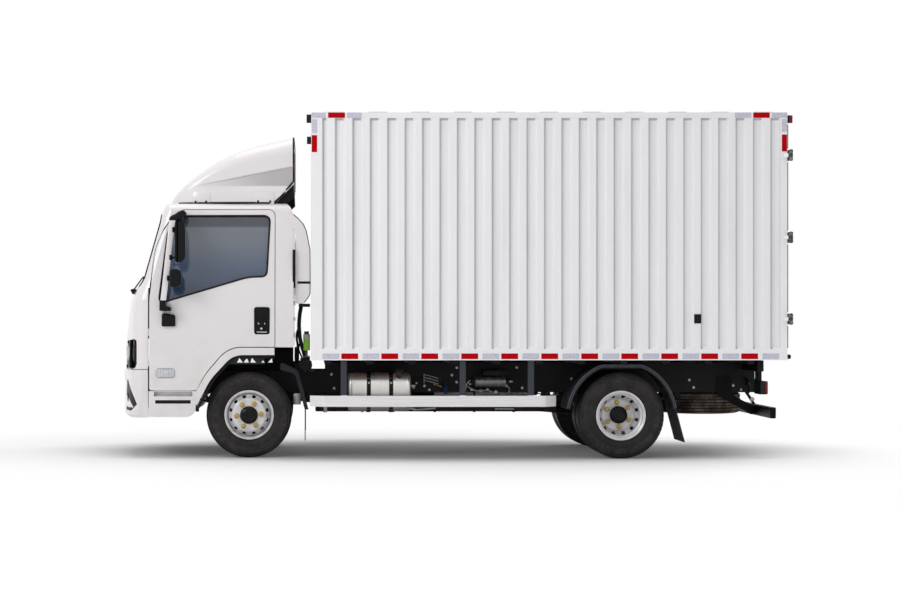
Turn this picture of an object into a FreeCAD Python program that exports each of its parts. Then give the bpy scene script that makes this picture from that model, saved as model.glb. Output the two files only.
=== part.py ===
import FreeCAD, Part
import math
import os

V = FreeCAD.Vector

# Light cab-over box truck, millimetres. X points forward, Y left, Z up.
# The origin lies on the ground at the middle of the overall length and width.

# Main sizes
front_axle_x = 1844.0
rear_axle_x = -1516.0
tyre_radius = 388.0
front_wheel_y = 752.0
rear_outer_y = 885.0
twin_spacing = 230.0
box_front_x = 1279.0
box_rear_x = -2984.0
box_half_width = 1100.0
box_bottom_z = 891.0
box_top_z = 3110.0
cab_rear_x = 1440.0
cab_half_width = 930.0
roof_side_z = 2310.0
roof_crown = 40.0
gap = 0.3
panel_gap = 6.0

# Cab walls and openings
cab_wall = 45.0
nose_line = [(368, 3018), (392, 3040), (510, 3040), (803, 3030), (1010, 3028), (1112, 3017),
             (1320, 2993), (1433, 2974), (1489, 2952), (1560, 2908), (1640, 2864), (2222, 2685),
             (2287, 2658), (2335, 2612), (2370, 2540)]
crown_low = 77.0
crown_high = 41.0
corner_low = 170.0
corner_high = 100.0
crown_half = 700.0
blend_low_z = 1250.0
blend_high_z = 1700.0
step_bottom_z = 368.0
cab_side_bottom_z = 1005.0
belt_z = 1408.0
belt_half_width = 918.0
eaves_half_width = 805.0
roof_shoulder = 100.0
rear_roof_radius = 170.0
panel_split_z = 803.0
cowl_z = 1540.0
screen_top_z = 2205.0
glass = 6.0
fairing_foot_z = 2250.0
fairing_wall = 30.0
scoop_low_z = 2474.0

# Cab doors
door_front_x = 2744.0
door_front_gap = 12.0
door_rear_x = 1610.0
door_bottom_z = 615.0
door_arch_z = 1008.0
door_top_z = 2252.0
door_hinge_y = 922.0
door_hinge_z = [865.0, 1140.0]
door_hinge_half = 32.0
door_pin_r = 4.0
door_eye_r = 5.7
handle_outline = [(1656, 1122, 20), (1794, 1122, 20), (1794, 1366, 20), (1656, 1366, 20)]
handle_y = 904.0
tread_z = 560.0

# Chassis
frame_front_x = 2890.0
frame_rear_x = -2860.0
frame_half = 375.0
frame_bottom_z = 575.0
frame_depth = 200.0
flange = 65.0
web = 7.0
end_plate = 8.0
cross_members = [-2780.0, -2150.0, -1250.0, -600.0, 100.0, 820.0, 2330.0]
tilt_x = 2800.0
tilt_z = 600.0
tilt_pin_r = 18.0
cab_floor_z = 812.0
cab_floor_thick = 30.0
tunnel_x = 2300.0
seat_floor_z = 1015.0

# Towing: bolt pattern on the rear crossmember and the eye between its bolts
hitch_z = 675.0
hitch_y = 160.0
hitch_height = 100.0
hitch_hole_r = 10.5
tow_thick = 25.0
tow_hole_r = 16.0
tow_reach = 75.0

# Steering
kingpin_y = 680.0
kingpin_r = 14.0
steer_arm = 150.0

# Outlines seen from the side
door_outline = [
    (door_front_x, door_bottom_z, 20), (door_front_x, 1440, 700), (2690, 1900, 500), (2600, 2100, 320),
    (2470, door_top_z, 130), (door_rear_x, door_top_z, 55), (door_rear_x, door_arch_z, 12),
    (2030, door_arch_z, 260), (2235, 770, 600), (2318, door_bottom_z, 12)]
window_outline = [
    (2662, belt_z - 10, 45), (2582, 2060, 150), (2440, 2198, 120), (1652, 2200, 60), (1682, 1645, 55),
    (1850, 1640, 500)]
arch_inner = [(1612, 934), (1985, 934, 200), (2190, 715, 500), (2330, 450, 10)]
lamp_outline = [(545, 812, 30), (905, 812, 60), (905, 1078, 60), (600, 1060, 40)]
grille_outline = [(-505, 872, 30), (505, 872, 30), (560, 1020, 30), (-560, 1020, 30)]
grille_depth = 16.0
screen_outline = [(-838, 1566, 70), (838, 1566, 70), (752, screen_top_z, 90), (-752, screen_top_z, 90)]
rear_glass_outline = [(-600, 1500, 60), (600, 1500, 60), (560, 1980, 60), (-560, 1980, 60)]

# Roof fairing: (x, top z, half width, edge radius)
fairing_sections = [(1437, 2932, 735, 150), (1778, 2849, 740, 140), (2060, 2745, 730, 120),
                    (2300, 2597, 700, 90), (2450, 2477, 650, 60), (2530, 2395, 590, 30),
                    (2562, 2340, 545, 12)]

# Seats: (y, half width), and the steering wheel
seat_places = [(420, 230), (-115, 200), (-545, 200)]
wheel_hub = V(2330, 420, 1452)
column_way = V(0.5, 0, -0.866)
steering_ring_r = 215.0
ring_tube_r = 15.0

# Wheels: (radius, offset outward) profiles
bead_r = 209.0
barrel_half = [(190, 20), (206, 32), (bead_r, 68), (224, 72), (224, 78), (214, 78), (202, 70), (200, 34),
               (184, 22)]
barrel = barrel_half + [(r, -v) for r, v in reversed(barrel_half)]
tyre_half = [(bead_r + gap, 66), (226, 71), (231, 82), (262, 94), (305, 100), (346, 96), (374, 88), (388, 74)]
tyre_profile = tyre_half + [(r, -v) for r, v in reversed(tyre_half)]
hand_hole_circle = 346.0
hand_hole_r = 17.0
hand_holes = 12
hub_r = 78.0
drum_r = 152.0
disc_face = 115.0
disc_thick = 8.0

# Knuckles and tie rod
stub_r = 22.0
spindle_r = 38.0
boss_r = 26.0
boss_half = 32.0
ear_gap = 6.0
ear_thick = 24.0
tie_z = 302.0
tie_pin_r = 8.0
tie_eye_r = 17.0

# Springs
spring_y = 340.0
spring_width = 65.0
rear_seat_z = 462.0
rear_leaf = 10.0

# Box body
rail_height = 100.0
top_rail_height = 50.0
rail_depth = 60.0
front_post = 100.0
rear_post = 60.0
beam_depth = 40.0
header_height = 100.0
floor_z = 930.0
floor_thick = 28.0
rib_pitch = 156.4
rib_depth = 28.0
rib_slant = 12.0
wall_back = 8.0
roof_skin = 10.0
roof_bump = 9.0
roof_bumps = 11
leaf_thick = 40.0
leaf_gap = 6.0
leaf_meeting_gap = 10.0
hinge_back = 25.0
hinge_out = 30.0
leaf_inset = 34.0
hinge_heights = [1260.0, 1990.0, 2725.0]
hinge_half = 48.0
hinge_pin_r = 9.0
hinge_eye_r = 19.0
bearer_height = 75.0
bearer_pitch = 380.0
bearer_width = 60.0
rail_top_z = box_bottom_z + rail_height
wall_top_z = box_top_z - top_rail_height
leaf_low_z = rail_top_z + leaf_gap
leaf_top_z = box_top_z - header_height - leaf_gap
hinge_x = box_rear_x - hinge_back
hinge_y = box_half_width + hinge_out

# Rear door lock
lock_y = 160.0
lock_r = 13.5
lock_off = 27.0

# Chassis equipment
engine_x = (1450.0, 2160.0)
gearbox_x = (950.0, 1450.0)
shaft_z = 560.0
radiator_x = 2230.0
tank_x = (373.0, 943.0)
tank_y = (545.0, 915.0)
tank_z = (415.0, 770.0)
strap_x = [758.0, 555.0]
guard_x = (-930.0, 1290.0)
guard_y = 1040.0
guard_z = (472.0, 570.0)
guard_posts = [987.0, -81.0, -694.0]
fender_outer = 496.0
fender_inner = 484.0
fender_top_z = 848.0
spare_x = -2412.0
spare_z = 470.0
underrun_x = -2880.0
engine_outline = [(-150, 470, 30), (150, 470, 30), (250, 640, 60), (250, 985, 40), (-250, 985, 40),
                  (-250, 640, 60)]

wheel_z = tyre_radius
frame_top_z = frame_bottom_z + frame_depth


def box(x0, x1, y0, y1, z0, z1):
    return Part.makeBox(x1 - x0, y1 - y0, z1 - z0, V(x0, y0, z0))


def rod_x(x0, x1, y, z, r):
    return Part.makeCylinder(r, x1 - x0, V(x0, y, z), V(1, 0, 0))


def rod_y(y0, y1, x, z, r):
    return Part.makeCylinder(r, y1 - y0, V(x, y0, z), V(0, 1, 0))


def rod_z(z0, z1, x, y, r):
    return Part.makeCylinder(r, z1 - z0, V(x, y, z0), V(0, 0, 1))


def rod(a, b, r):
    return Part.makeCylinder(r, (b - a).Length, a, b - a)


def mirror(shape):
    return shape.mirror(V(0, 0, 0), V(0, 1, 0))


def both(shape):
    """A piece and its mirror image on the other side of the truck."""
    return [shape, mirror(shape)]


def fuse(shapes):
    first = shapes[0]
    if len(shapes) == 1:
        return first
    return first.fuse(shapes[1:]).removeSplitter()


def cut(shape, tools):
    return shape.cut(tools) if tools else shape


def solids(shapes):
    """All solids of the given shapes as one compound of separate solids."""
    return Part.makeCompound([s for shape in shapes for s in shape.Solids])


def side_view(y):
    return lambda u, v: V(u, y, v)


def front_view(x):
    return lambda u, v: V(x, u, v)


def plan_view(z):
    return lambda u, v: V(u, v, z)


def outline(corners, place):
    """Closed wire through (u, v) or (u, v, radius) corners, each rounded by its radius."""
    count = len(corners)
    spans = []
    for i in range(count):
        here = V(corners[i][0], corners[i][1], 0)
        before = V(corners[i - 1][0], corners[i - 1][1], 0)
        after = V(corners[(i + 1) % count][0], corners[(i + 1) % count][1], 0)
        radius = corners[i][2] if len(corners[i]) > 2 else 0
        into = (here - before).normalize()
        out = (after - here).normalize()
        turn = into.getAngle(out)
        if radius == 0 or turn < 1e-4:
            spans.append((here, here, here))
            continue
        reach = radius * math.tan(turn / 2)
        inward = (out - into).normalize()
        middle = here + inward * (radius / math.cos(turn / 2) - radius)
        spans.append((here - into * reach, middle, here + out * reach))
    edges = []
    for i in range(count):
        start, middle, end = [place(p.x, p.y) for p in spans[i]]
        following = spans[(i + 1) % count][0]
        following = place(following.x, following.y)
        if start.distanceToPoint(end) > 1e-6:
            edges.append(Part.Arc(start, middle, end).toShape())
        if end.distanceToPoint(following) > 1e-6:
            edges.append(Part.makeLine(end, following))
    return Part.Wire(edges)


def slab(corners, place, depth):
    """A rounded outline pushed along the vector depth."""
    return Part.Face(outline(corners, place)).extrude(depth)


def slab_y(corners, y0, y1):
    return slab(corners, side_view(y0), V(0, y1 - y0, 0))


def slab_x(corners, x0, x1):
    return slab(corners, front_view(x0), V(x1 - x0, 0, 0))


def slab_z(corners, z0, z1):
    return slab(corners, plan_view(z0), V(0, 0, z1 - z0))


def turned(profile, x, y, z):
    """A (radius, offset) profile turned about the line through x, z along Y."""
    wire = outline(profile, lambda u, v: V(x + u, y + v, z))
    shape = Part.Face(wire).revolve(V(x, y, z), V(0, 1, 0), 360)
    if shape.Volume < 0:
        shape.reverse()
    return shape


def between(value, low, high, a, b):
    share = min(1, max(0, (value - low) / (high - low)))
    return a + (b - a) * share


def nose_at(z):
    """Furthest forward X of the cab at a height, on the centre line."""
    for (z0, x0), (z1, x1) in zip(nose_line, nose_line[1:]):
        if z <= z1:
            return x0 + (x1 - x0) * (z - z0) / (z1 - z0)
    return nose_line[-1][1]


def half_at(z):
    """Half width of the cab's side at a height, before the roof shoulder."""
    if z < belt_z:
        return between(z, 1180, belt_z, cab_half_width, belt_half_width)
    return between(z, belt_z, roof_side_z, belt_half_width, eaves_half_width)


def cab_section(z, inset):
    """Plan outline of the cab at a height: bowed face, round corners, straight sides and back."""
    nose = nose_at(z) - inset
    half = half_at(z) + 1 - inset
    depth = between(z, blend_low_z, blend_high_z, crown_low, crown_high)
    corner = between(z, blend_low_z, blend_high_z, corner_low, corner_high) - inset / 2
    bow = crown_half ** 2 / (2 * depth)
    face_centre = nose - bow
    cy = half - corner
    cx = face_centre + math.sqrt((bow - corner) ** 2 - cy ** 2)
    toward = V(cx - face_centre, cy, 0).normalize()
    meet = V(face_centre, 0, 0) + toward * bow
    middle = (toward + V(0, 1, 0)).normalize() * corner + V(cx, cy, 0)
    back = cab_rear_x + inset - 20
    left = [V(back, half, z), V(cx, half, z), V(middle.x, middle.y, z), V(meet.x, meet.y, z)]
    right = [V(p.x, -p.y, z) for p in left]
    return Part.Wire([
        Part.makeLine(right[0], right[1]),
        Part.Arc(right[1], right[2], right[3]).toShape(),
        Part.Arc(right[3], V(nose, 0, z), left[3]).toShape(),
        Part.Arc(left[3], left[2], left[1]).toShape(),
        Part.makeLine(left[1], left[0]),
        Part.makeLine(left[0], right[0])])


def cab_block(inset):
    """The cab's outer form, or the same form drawn in by inset all round."""
    heights = [z for z, x in nose_line]
    nose = Part.makeLoft([cab_section(z, inset) for z in heights], True, True)
    eaves_z = roof_side_z - inset
    belt = belt_half_width - inset
    eaves = eaves_half_width - inset
    waist = cab_half_width - inset
    half = [(waist - 14, step_bottom_z - 10), (waist, 760, 900), (waist, 1180, 900),
            (belt, belt_z, 900), (eaves, eaves_z, roof_shoulder)]
    crown = [(0, eaves_z + roof_crown, 3500)]
    front = slab_x(half + crown + [(-p[0],) + p[1:] for p in reversed(half)], 1000, 3200)
    back = cab_rear_x + inset
    side = slab_y([(back, 300), (back, eaves_z + 38, rear_roof_radius), (3200, eaves_z + 75), (3200, 300)],
                  -1000, 1000)
    return nose.common(front).common(side)


def grown(corners, distance):
    """The same outline with every edge moved outward by distance."""
    count = len(corners)
    points = [V(c[0], c[1], 0) for c in corners]
    area = sum(points[i - 1].x * points[i].y - points[i].x * points[i - 1].y for i in range(count))
    side = 1 if area > 0 else -1
    result = []
    for i in range(count):
        into = (points[i] - points[i - 1]).normalize()
        out = (points[(i + 1) % count] - points[i]).normalize()
        n1 = V(into.y, -into.x, 0) * side
        n2 = V(out.y, -out.x, 0) * side
        place = points[i] + (n1 + n2) * (distance / (1 + n1.dot(n2)))
        radius = corners[i][2] if len(corners[i]) > 2 else 0
        convex = (into.x * out.y - into.y * out.x) * side > 0
        if radius:
            radius = max(1, radius + (distance if convex else -distance))
        result.append((place.x, place.y, radius))
    return result


# Cab solids
outer = cab_block(0)
inner = cab_block(cab_wall)
glass_out = cab_block(16)
glass_in = cab_block(16 + glass)
cab_wall_form = outer.cut(inner)
glass_form = glass_out.cut(glass_in)


def door_opening():
    left = slab_y(grown(door_outline, panel_gap), 600, 1100)
    hinge_room = left.translated(V(door_front_gap - panel_gap, 0, 0))
    return both(left) + both(hinge_room)


def cab_shell():
    """Roof, pillars and back wall, with the door, screen and rear window openings."""
    front_low = box(2200, 3200, -1100, 1100, 0, cowl_z)
    under = box(1000, 3200, -1100, 1100, 0, cab_side_bottom_z)
    screen = slab_x(screen_outline, 2400, 3200)
    rear = slab_x(rear_glass_outline, 1000, 1700)
    shell = cab_wall_form.cut(door_opening() + [front_low, under, screen, rear])
    swage = [slab_x([(-780, z, 12), (780, z, 12), (780, z + 34, 12), (-780, z + 34, 12)],
                    cab_rear_x - 12, cab_rear_x + 5) for z in (1090, 1240, 1390)]
    return fuse([shell] + swage)


def door_pivot():
    """X of the door hinge line, in the middle of the gap at the door's front edge."""
    return door_front_x + door_front_gap / 2


def door_hinge_eyes():
    """Two fixed eyes for each hinge pin of the left door, held by the front panel."""
    made = []
    x, y = door_pivot(), door_hinge_y
    strap = panel_gap * 2
    for z in door_hinge_z:
        for low, high in ((z - door_hinge_half, z - strap), (z + strap, z + door_hinge_half)):
            eye = rod_z(low, high, x, y, door_eye_r)
            lug = box(x + 1, x + 20, y - door_eye_r, y + door_eye_r - 1, low, high)
            bore = rod_z(low - 1, high + 1, x, y, door_pin_r + gap)
            made.append(eye.fuse(lug).cut(bore))
    return made


def front_panel():
    """Outer panel under the screen, with a recess for the grille, holes for the lamps and hinge eyes."""
    keep = box(door_front_x + door_front_gap, 3200, -1100, 1100, panel_split_z + panel_gap / 2, cowl_z)
    panel = cab_wall_form.common(keep)
    recess = slab_x(grille_outline, 2800, 3200).cut(cab_block(grille_depth))
    panel = panel.cut([recess, lamp_form(0, 200), mirror(lamp_form(0, 200))])
    eyes = door_hinge_eyes()
    return fuse([panel] + eyes + [mirror(eye) for eye in eyes])


def lamp_form(shrink, depth):
    """Headlamp seen from the front, pushed back from the nose."""
    return slab_x(grown(lamp_outline, -shrink), 3060 - depth, 3060)


def headlamps():
    body = cab_block(4).cut(inner)
    back = box(2915, 3200, 0, 1100, 700, 1200)
    return both(body.common(lamp_form(gap, 200)).common(back))


def bumper():
    """Bumper with its lower air slot and lamp pockets at the corners."""
    keep = box(door_front_x + door_front_gap, 3200, -1100, 1100, 0, panel_split_z - panel_gap / 2)
    skin = cab_wall_form.common(keep)
    slot = slab_x([(-430, 560, 25), (430, 560, 25), (470, 660, 25), (-470, 660, 25)], 2900, 3200)
    pocket = slab_x([(640, 440, 20), (860, 440, 40), (860, 700, 40), (640, 640, 30)], 3010, 3200)
    arm = slab_y([(2860, 690), (2955, 690), (2955, 795), (2925, 795), (2925, cab_floor_z),
                  (2860, cab_floor_z)], 500, 540)
    return fuse([cut(skin, [slot, pocket, mirror(pocket)])] + both(arm))


def step_panels():
    """Panel under each door with its foot hold and tread, and the flare over the front wheel."""
    rear_edge = 2324
    keep = slab_y([(door_front_x + door_front_gap - panel_gap, step_bottom_z + 4),
                   (rear_edge, step_bottom_z + 4, 90), (rear_edge, 608),
                   (door_front_x + door_front_gap - panel_gap, 608)], 500, 1100)
    skin = cab_wall_form.common(keep)
    foot_hold = box(rear_edge + 30, 2701, 860, 1100, tread_z, 620)
    slit = box(2370, 2690, 915, 1100, 494, 526)
    tread = box(rear_edge + 2, 2701, 735, 900, tread_z - 12, tread_z)
    skin = skin.cut([foot_hold, slit])
    upper = [p for p in grown(door_outline, panel_gap + 2)][6:9]
    flare_outline = [(1612, upper[0][1])] + upper[1:] + [(rear_edge, 600)] + list(reversed(arch_inner))
    flare = slab_y(flare_outline, 880, 941)
    return both(fuse([skin, tread, flare]))


def cab_floor():
    """Low floor at the pedals, riser and high floor over the wheels and engine, and the tilt lugs."""
    top = cab_floor_z + cab_floor_thick
    high_top = seat_floor_z + cab_floor_thick
    band = [(3100, cab_floor_z), (3100, top), (tunnel_x + cab_floor_thick, top),
            (tunnel_x + cab_floor_thick, high_top), (1400, high_top), (1400, seat_floor_z),
            (tunnel_x, seat_floor_z), (tunnel_x, cab_floor_z)]
    floor = slab_y(band, -1100, 1100).common(cab_block(cab_wall + gap))
    beside = box(tunnel_x - 1, 3200, 748, 1100, 0, 2000)
    floor = floor.cut(both(beside))
    well = fuse([box(2326, door_front_x - 10, 735, 748, tread_z, cab_floor_z),
                 box(2326, 2338, 748, 868, tread_z, 1000)])
    plate = slab_y([(tilt_x - 60, cab_floor_z), (tilt_x - 28, tilt_z - 30, 26),
                    (tilt_x + 28, tilt_z - 30, 26), (tilt_x + 60, cab_floor_z)],
                   frame_half + 8, frame_half + 30)
    lug = plate.fuse(rod_y(frame_half - 40, frame_half + 20, tilt_x, tilt_z, tilt_pin_r))
    return fuse([floor] + both(well) + both(lug))


def cab_glass():
    screen = glass_form.common(slab_x(grown(screen_outline, -gap), 2400, 3200))
    rear = glass_form.common(slab_x(grown(rear_glass_outline, -gap), 1000, 1700))
    return [screen, rear]


def door_panel():
    """Outer door with its window opening and handle recess, and the pins of its two hinges."""
    panel = cab_wall_form.common(slab_y(door_outline, 600, 1100))
    window = slab_y(window_outline, 600, 1100)
    handle = slab_y(handle_outline, handle_y, 1100)
    pins = []
    for z in door_hinge_z:
        pins.append(rod_z(z - door_hinge_half, z + door_hinge_half, door_pivot(), door_hinge_y, door_pin_r))
        pins.append(box(door_front_x - 20, door_pivot(), door_hinge_y - door_pin_r, door_hinge_y + door_pin_r,
                        z - panel_gap * 1.5, z + panel_gap * 1.5))
    return fuse([cut(panel, [window, handle])] + pins)


def door_glass():
    return glass_form.common(slab_y(grown(window_outline, -gap), 600, 1100))


def mirrors():
    """Main and wide mirror on a bow arm, its two brackets on the door, and the pull handle."""
    arm_y = 1058
    arm = slab_y([(2634, 1425, 8), (2551, 2140, 8), (2499, 2140, 8), (2583, 1425, 8)], arm_y - 14, arm_y + 14)
    top = slab_y([(2556, 2138, 8), (2556, 2178, 20), (2420, 2240, 20), (2400, 2215, 8), (2440, 2138, 8)],
                 826, arm_y + 14)
    low = slab_y([(2645, 1330, 8), (2645, 1434, 8), (2582, 1434, 8), (2582, 1372), (2536, 1372),
                  (2536, 1330)], 918, arm_y + 14)
    cover = slab_y([(2632, 1190, 14), (2632, 1316, 20), (2503, 1300, 30), (2503, 1190, 14)], 926, 962)
    main = slab_z([(2404, 1000, 20), (2404, 1180, 20), (2497, 1160, 45), (2497, 1010, 45)], 1764, 2137)
    wide = slab_z([(2440, 1010, 20), (2440, 1172, 20), (2544, 1150, 45), (2544, 1020, 45)], 1543, 1709)
    stalks = [box(2490, 2590, arm_y - 8, arm_y + 8, z, z + 24) for z in (1800, 2050, 1615)]
    door_skin = [cab_block(-gap)]
    frame = fuse([arm, top, low, main, wide] + stalks)
    return [frame.cut(door_skin), cover.cut(door_skin), door_handle()]


def door_handle():
    grip = slab_y([(1672, 1150, 12), (1780, 1150, 12), (1780, 1230, 20), (1672, 1230, 20)], handle_y + 2,
                  handle_y + 18)
    cup = slab_y(grown(handle_outline, -gap), handle_y + gap, handle_y + 4)
    return fuse([grip, cup])


def fairing_block(inset):
    wires = []
    for x, top, half, radius in fairing_sections:
        h, t, r = half - inset, top - inset, max(6, radius - inset)
        wires.append(outline([(-h - 12, fairing_foot_z), (h + 12, fairing_foot_z), (h, t, r), (-h, t, r)],
                             front_view(x - inset)))
    return Part.makeLoft(wires, True, False)


def fairing_scoop():
    """Long recess in the fairing's side: a facet that falls in under a crease, above a slanted ledge."""
    ends = [(1420, 737, 2650, 18), (1778, 742, 2582, 14), (2316, 700, 2486, 5)]
    wires = []
    for x, half, crease, depth in ends:
        corners = [(half + 60, crease + 8), (half, crease), (half - depth + 4, scoop_low_z),
                   (half + 10, scoop_low_z - 46), (half + 60, scoop_low_z - 46)]
        wires.append(outline(corners, front_view(x)))
    return Part.makeLoft(wires, True, True)


def roof_fairing():
    """Open-backed wind deflector on the roof, its rear edge cut back over the roof's corner."""
    scoops = both(fairing_scoop())
    shell = fairing_block(0).cut([fairing_block(fairing_wall), cab_block(-gap)] + scoops)
    undercut = slab_y([(1300, 2200), (1700, 2200), (1700, 2240), (1446, 2484), (1300, 2484)], -1000, 1000)
    return shell.cut(undercut)


def intake_duct():
    """Raised air intake behind the cab on the left, hollow, open at its foot."""
    profile = [(1424, 1400, 20), (1345, 1400, 40), (1287, 1480, 60), (1287, 1890, 300), (1335, 2120, 200),
               (1500, 2262, 20), (1478, 2180, 60), (1424, 2050, 120)]
    form = slab_y(profile, 640, 860)
    hollow = slab_y(grown(profile, -8), 648, 852)
    foot = box(1352, 1410, 652, 848, 1380, 1440)
    return form.cut([hollow, foot, cab_block(-gap)])


def seats():
    """Cushions and backs of the driver's seat and the two passenger places, standing on the floor."""
    floor = seat_floor_z + cab_floor_thick + gap
    split = 1660
    made = []
    for y, half in seat_places:
        made.append(slab_y([(split + gap, floor, 10), (2080, floor, 40), (2090, floor + 150, 60),
                            (split + gap, floor + 120, 30)], y - half, y + half))
        made.append(slab_y([(1530, floor, 10), (split, floor, 10), (split, floor + 160, 40), (1620, 1760, 60),
                            (1500, 1760, 40), (1500, floor + 160, 40)], y - half, y + half))
    return made


def dashboard():
    """Dash across the cab under the screen, with the instrument hood and the steering column."""
    profile = [(2990, 1100), (2990, 1500), (2860, 1500, 60), (2640, 1420, 60), (2590, 1380, 40),
               (2600, 1200, 60), (2700, 1100, 30)]
    dash = slab_y(profile, -1000, 1000).common(cab_block(cab_wall + 2))
    hood = slab_y([(2760, 1400), (2740, 1500, 40), (2600, 1470, 30), (2590, 1390, 20)], 250, 590)
    start = wheel_hub + column_way * 40
    end = wheel_hub + column_way * 700
    column = rod(start, wheel_hub + column_way * 330, 38)
    shaft = rod(wheel_hub + column_way * (22 + gap), end, 16)
    hub_hole = rod(wheel_hub - column_way * (6 - gap), wheel_hub + column_way * 30, 10)
    floor = box(2300, 3000, -1000, 1000, 0, cab_floor_z + cab_floor_thick + gap)
    bracket = box(2480, 2640, 395, 445, 1230, 1330)
    return fuse([dash, hood, column, shaft, hub_hole, bracket]).cut(floor)


def steering_wheel():
    turn = FreeCAD.Rotation(V(0, 0, 1), column_way * -1)
    ring = Part.makeTorus(steering_ring_r, ring_tube_r)
    hub = Part.makeCone(46, 36, 34, V(0, 0, -22))
    spokes = [box(0, steering_ring_r, -16, 16, -8, 6) for _ in range(3)]
    for index, spoke in enumerate(spokes):
        spoke.rotate(V(0, 0, 0), V(0, 0, 1), 90 + 120 * index)
    wheel = fuse([ring, hub] + spokes)
    seat = Part.makeCylinder(10 + gap, 30, V(0, 0, -24))
    wheel = wheel.cut(seat)
    wheel.Placement = FreeCAD.Placement(wheel_hub, turn)
    return wheel


def tyre(x, y):
    return turned(tyre_profile, x, y, wheel_z)


def facing(profile, way):
    """The same profile, or its reflection for a disc that faces inboard."""
    return [(p[0], p[1] * way) + tuple(p[2:]) for p in profile]


def rim(x, y, way):
    """Rim barrel and its dished disc, whose mounting face stands disc_face off the centre, toward way."""
    face = disc_face
    disc = [(188.5, 6), (187, 58, 40), (150, face, 24), (hub_r - 4, face), (hub_r - 4, face - disc_thick),
            (144, face - disc_thick, 18), (179, 54, 34), (185.5, 6)]
    return [turned(barrel, x, y, wheel_z), turned(facing(disc, way), x, y, wheel_z)]


def hand_hole_rods(x, y0, y1):
    holes = []
    for index in range(hand_holes):
        angle = 2 * math.pi * (index + 0.5) / hand_holes
        hx = x + hand_hole_circle / 2 * math.cos(angle)
        hz = wheel_z + hand_hole_circle / 2 * math.sin(angle)
        holes.append(rod_y(y0, y1, hx, hz, hand_hole_r))
    return holes


def front_rim():
    """Left front rim with its hub, cap and brake drum."""
    y = front_wheel_y
    hub = [(stub_r + gap, -18), (hub_r, -18), (hub_r, 128, 6), (52, 142, 6), (0, 142), (0, 70),
           (stub_r + gap, 70)]
    drum = [(hub_r - 2, 88), (drum_r - 8, 88), (drum_r - 8, -25), (drum_r, -25), (drum_r, 98, 10),
            (hub_r - 2, 98)]
    wheel = fuse(rim(front_axle_x, y, 1) + [turned(hub, front_axle_x, y, wheel_z),
                                            turned(drum, front_axle_x, y, wheel_z)])
    return wheel.cut(hand_hole_rods(front_axle_x, y + 40, y + 130))


def rear_rims():
    """Left twin rims, disc to disc, on their hub and brake drum."""
    middle = rear_outer_y - twin_spacing / 2
    x = rear_axle_x
    hub = [(spindle_r + gap, -160), (hub_r, -160), (hub_r, 70, 10), (60, 84, 4), (0, 84), (0, -10),
           (spindle_r + gap, -10)]
    drum = [(hub_r - 2, -130), (drum_r - 8, -130), (drum_r - 8, -205), (drum_r, -205), (drum_r, -120, 10),
            (hub_r - 2, -120)]
    wheel = fuse(rim(x, rear_outer_y, -1) + rim(x, rear_outer_y - twin_spacing, 1)
                 + [turned(hub, x, middle, wheel_z), turned(drum, x, middle, wheel_z)])
    return wheel.cut(hand_hole_rods(x, middle - 80, middle + 80))


def knuckle():
    """Left knuckle: yoke ears on the kingpin, stub axle, backing plate and steering arm."""
    x, y, z = front_axle_x, kingpin_y, wheel_z
    top = z + boss_half + ear_gap
    low = z - boss_half - ear_gap
    pin = rod_z(low - ear_thick, top + ear_thick, x, y, kingpin_r)
    ears = [rod_z(top, top + ear_thick, x, y, boss_r), rod_z(low - ear_thick, low, x, y, boss_r)]
    ears += [box(x - boss_r, x + boss_r, y, y + 36, top, top + ear_thick),
             box(x - boss_r, x + boss_r, y, y + 36, low - ear_thick, low)]
    web_plate = box(x - boss_r, x + boss_r, y + 32, y + 46, low - ear_thick, top + ear_thick)
    stub = rod_y(y + 40, front_wheel_y + 68, x, z, stub_r)
    plate = rod_y(y + 36, y + 42, x, z, drum_r - 2)
    arm = slab_z([(x, y - 20, 8), (x, y + 20, 8), (x - steer_arm - 14, y + 14, 12),
                  (x - steer_arm - 14, y - 14, 12)], low - ear_thick - 6, low - ear_thick + 8)
    ball = rod_z(tie_z - 16, low - ear_thick - 4, x - steer_arm, y, tie_pin_r)
    return fuse([pin, web_plate, stub, plate, arm, ball] + ears)


def tie_rod():
    """Rod between the two parallel steering arms, with an eye at each end."""
    x = front_axle_x - steer_arm
    reach = kingpin_y
    eyes = [rod_z(tie_z - 12, tie_z + 12, x, side * reach, tie_eye_r) for side in (-1, 1)]
    holes = [rod_z(tie_z - 13, tie_z + 13, x, side * reach, tie_pin_r + gap) for side in (-1, 1)]
    bar = rod_y(-reach + 14, reach - 14, x, tie_z, 11)
    return fuse([bar] + eyes).cut(holes)


def front_axle():
    """Dropped beam with pockets in its web, spring seats and a boss for each kingpin."""
    z = wheel_z
    half = [(560, 305, 90), (kingpin_y - 20, z - 22, 20), (kingpin_y, z - 22),
            (kingpin_y, z + 22), (kingpin_y - 40, z + 22, 40), (520, 385, 90)]
    right = [(-p[0],) + p[1:] for p in reversed(half)]
    beam = slab_x(half + right, front_axle_x - 30, front_axle_x + 30)
    pockets = [slab_x([(-280, 322, 10), (280, 322, 10), (280, 368, 10), (-280, 368, 10)],
                      front_axle_x + a, front_axle_x + b) for a, b in ((-31, -8), (8, 31))]
    bosses = [rod_z(z - boss_half, z + boss_half, front_axle_x, side * kingpin_y, boss_r) for side in (-1, 1)]
    holes = [rod_z(z - 60, z + 60, front_axle_x, side * kingpin_y, kingpin_r + gap) for side in (-1, 1)]
    seats_ = [box(front_axle_x - 55, front_axle_x + 55, side * spring_y - 40, side * spring_y + 40, 376, 410)
              for side in (-1, 1)]
    return fuse([beam.cut(pockets)] + bosses + seats_).cut(holes)


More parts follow.
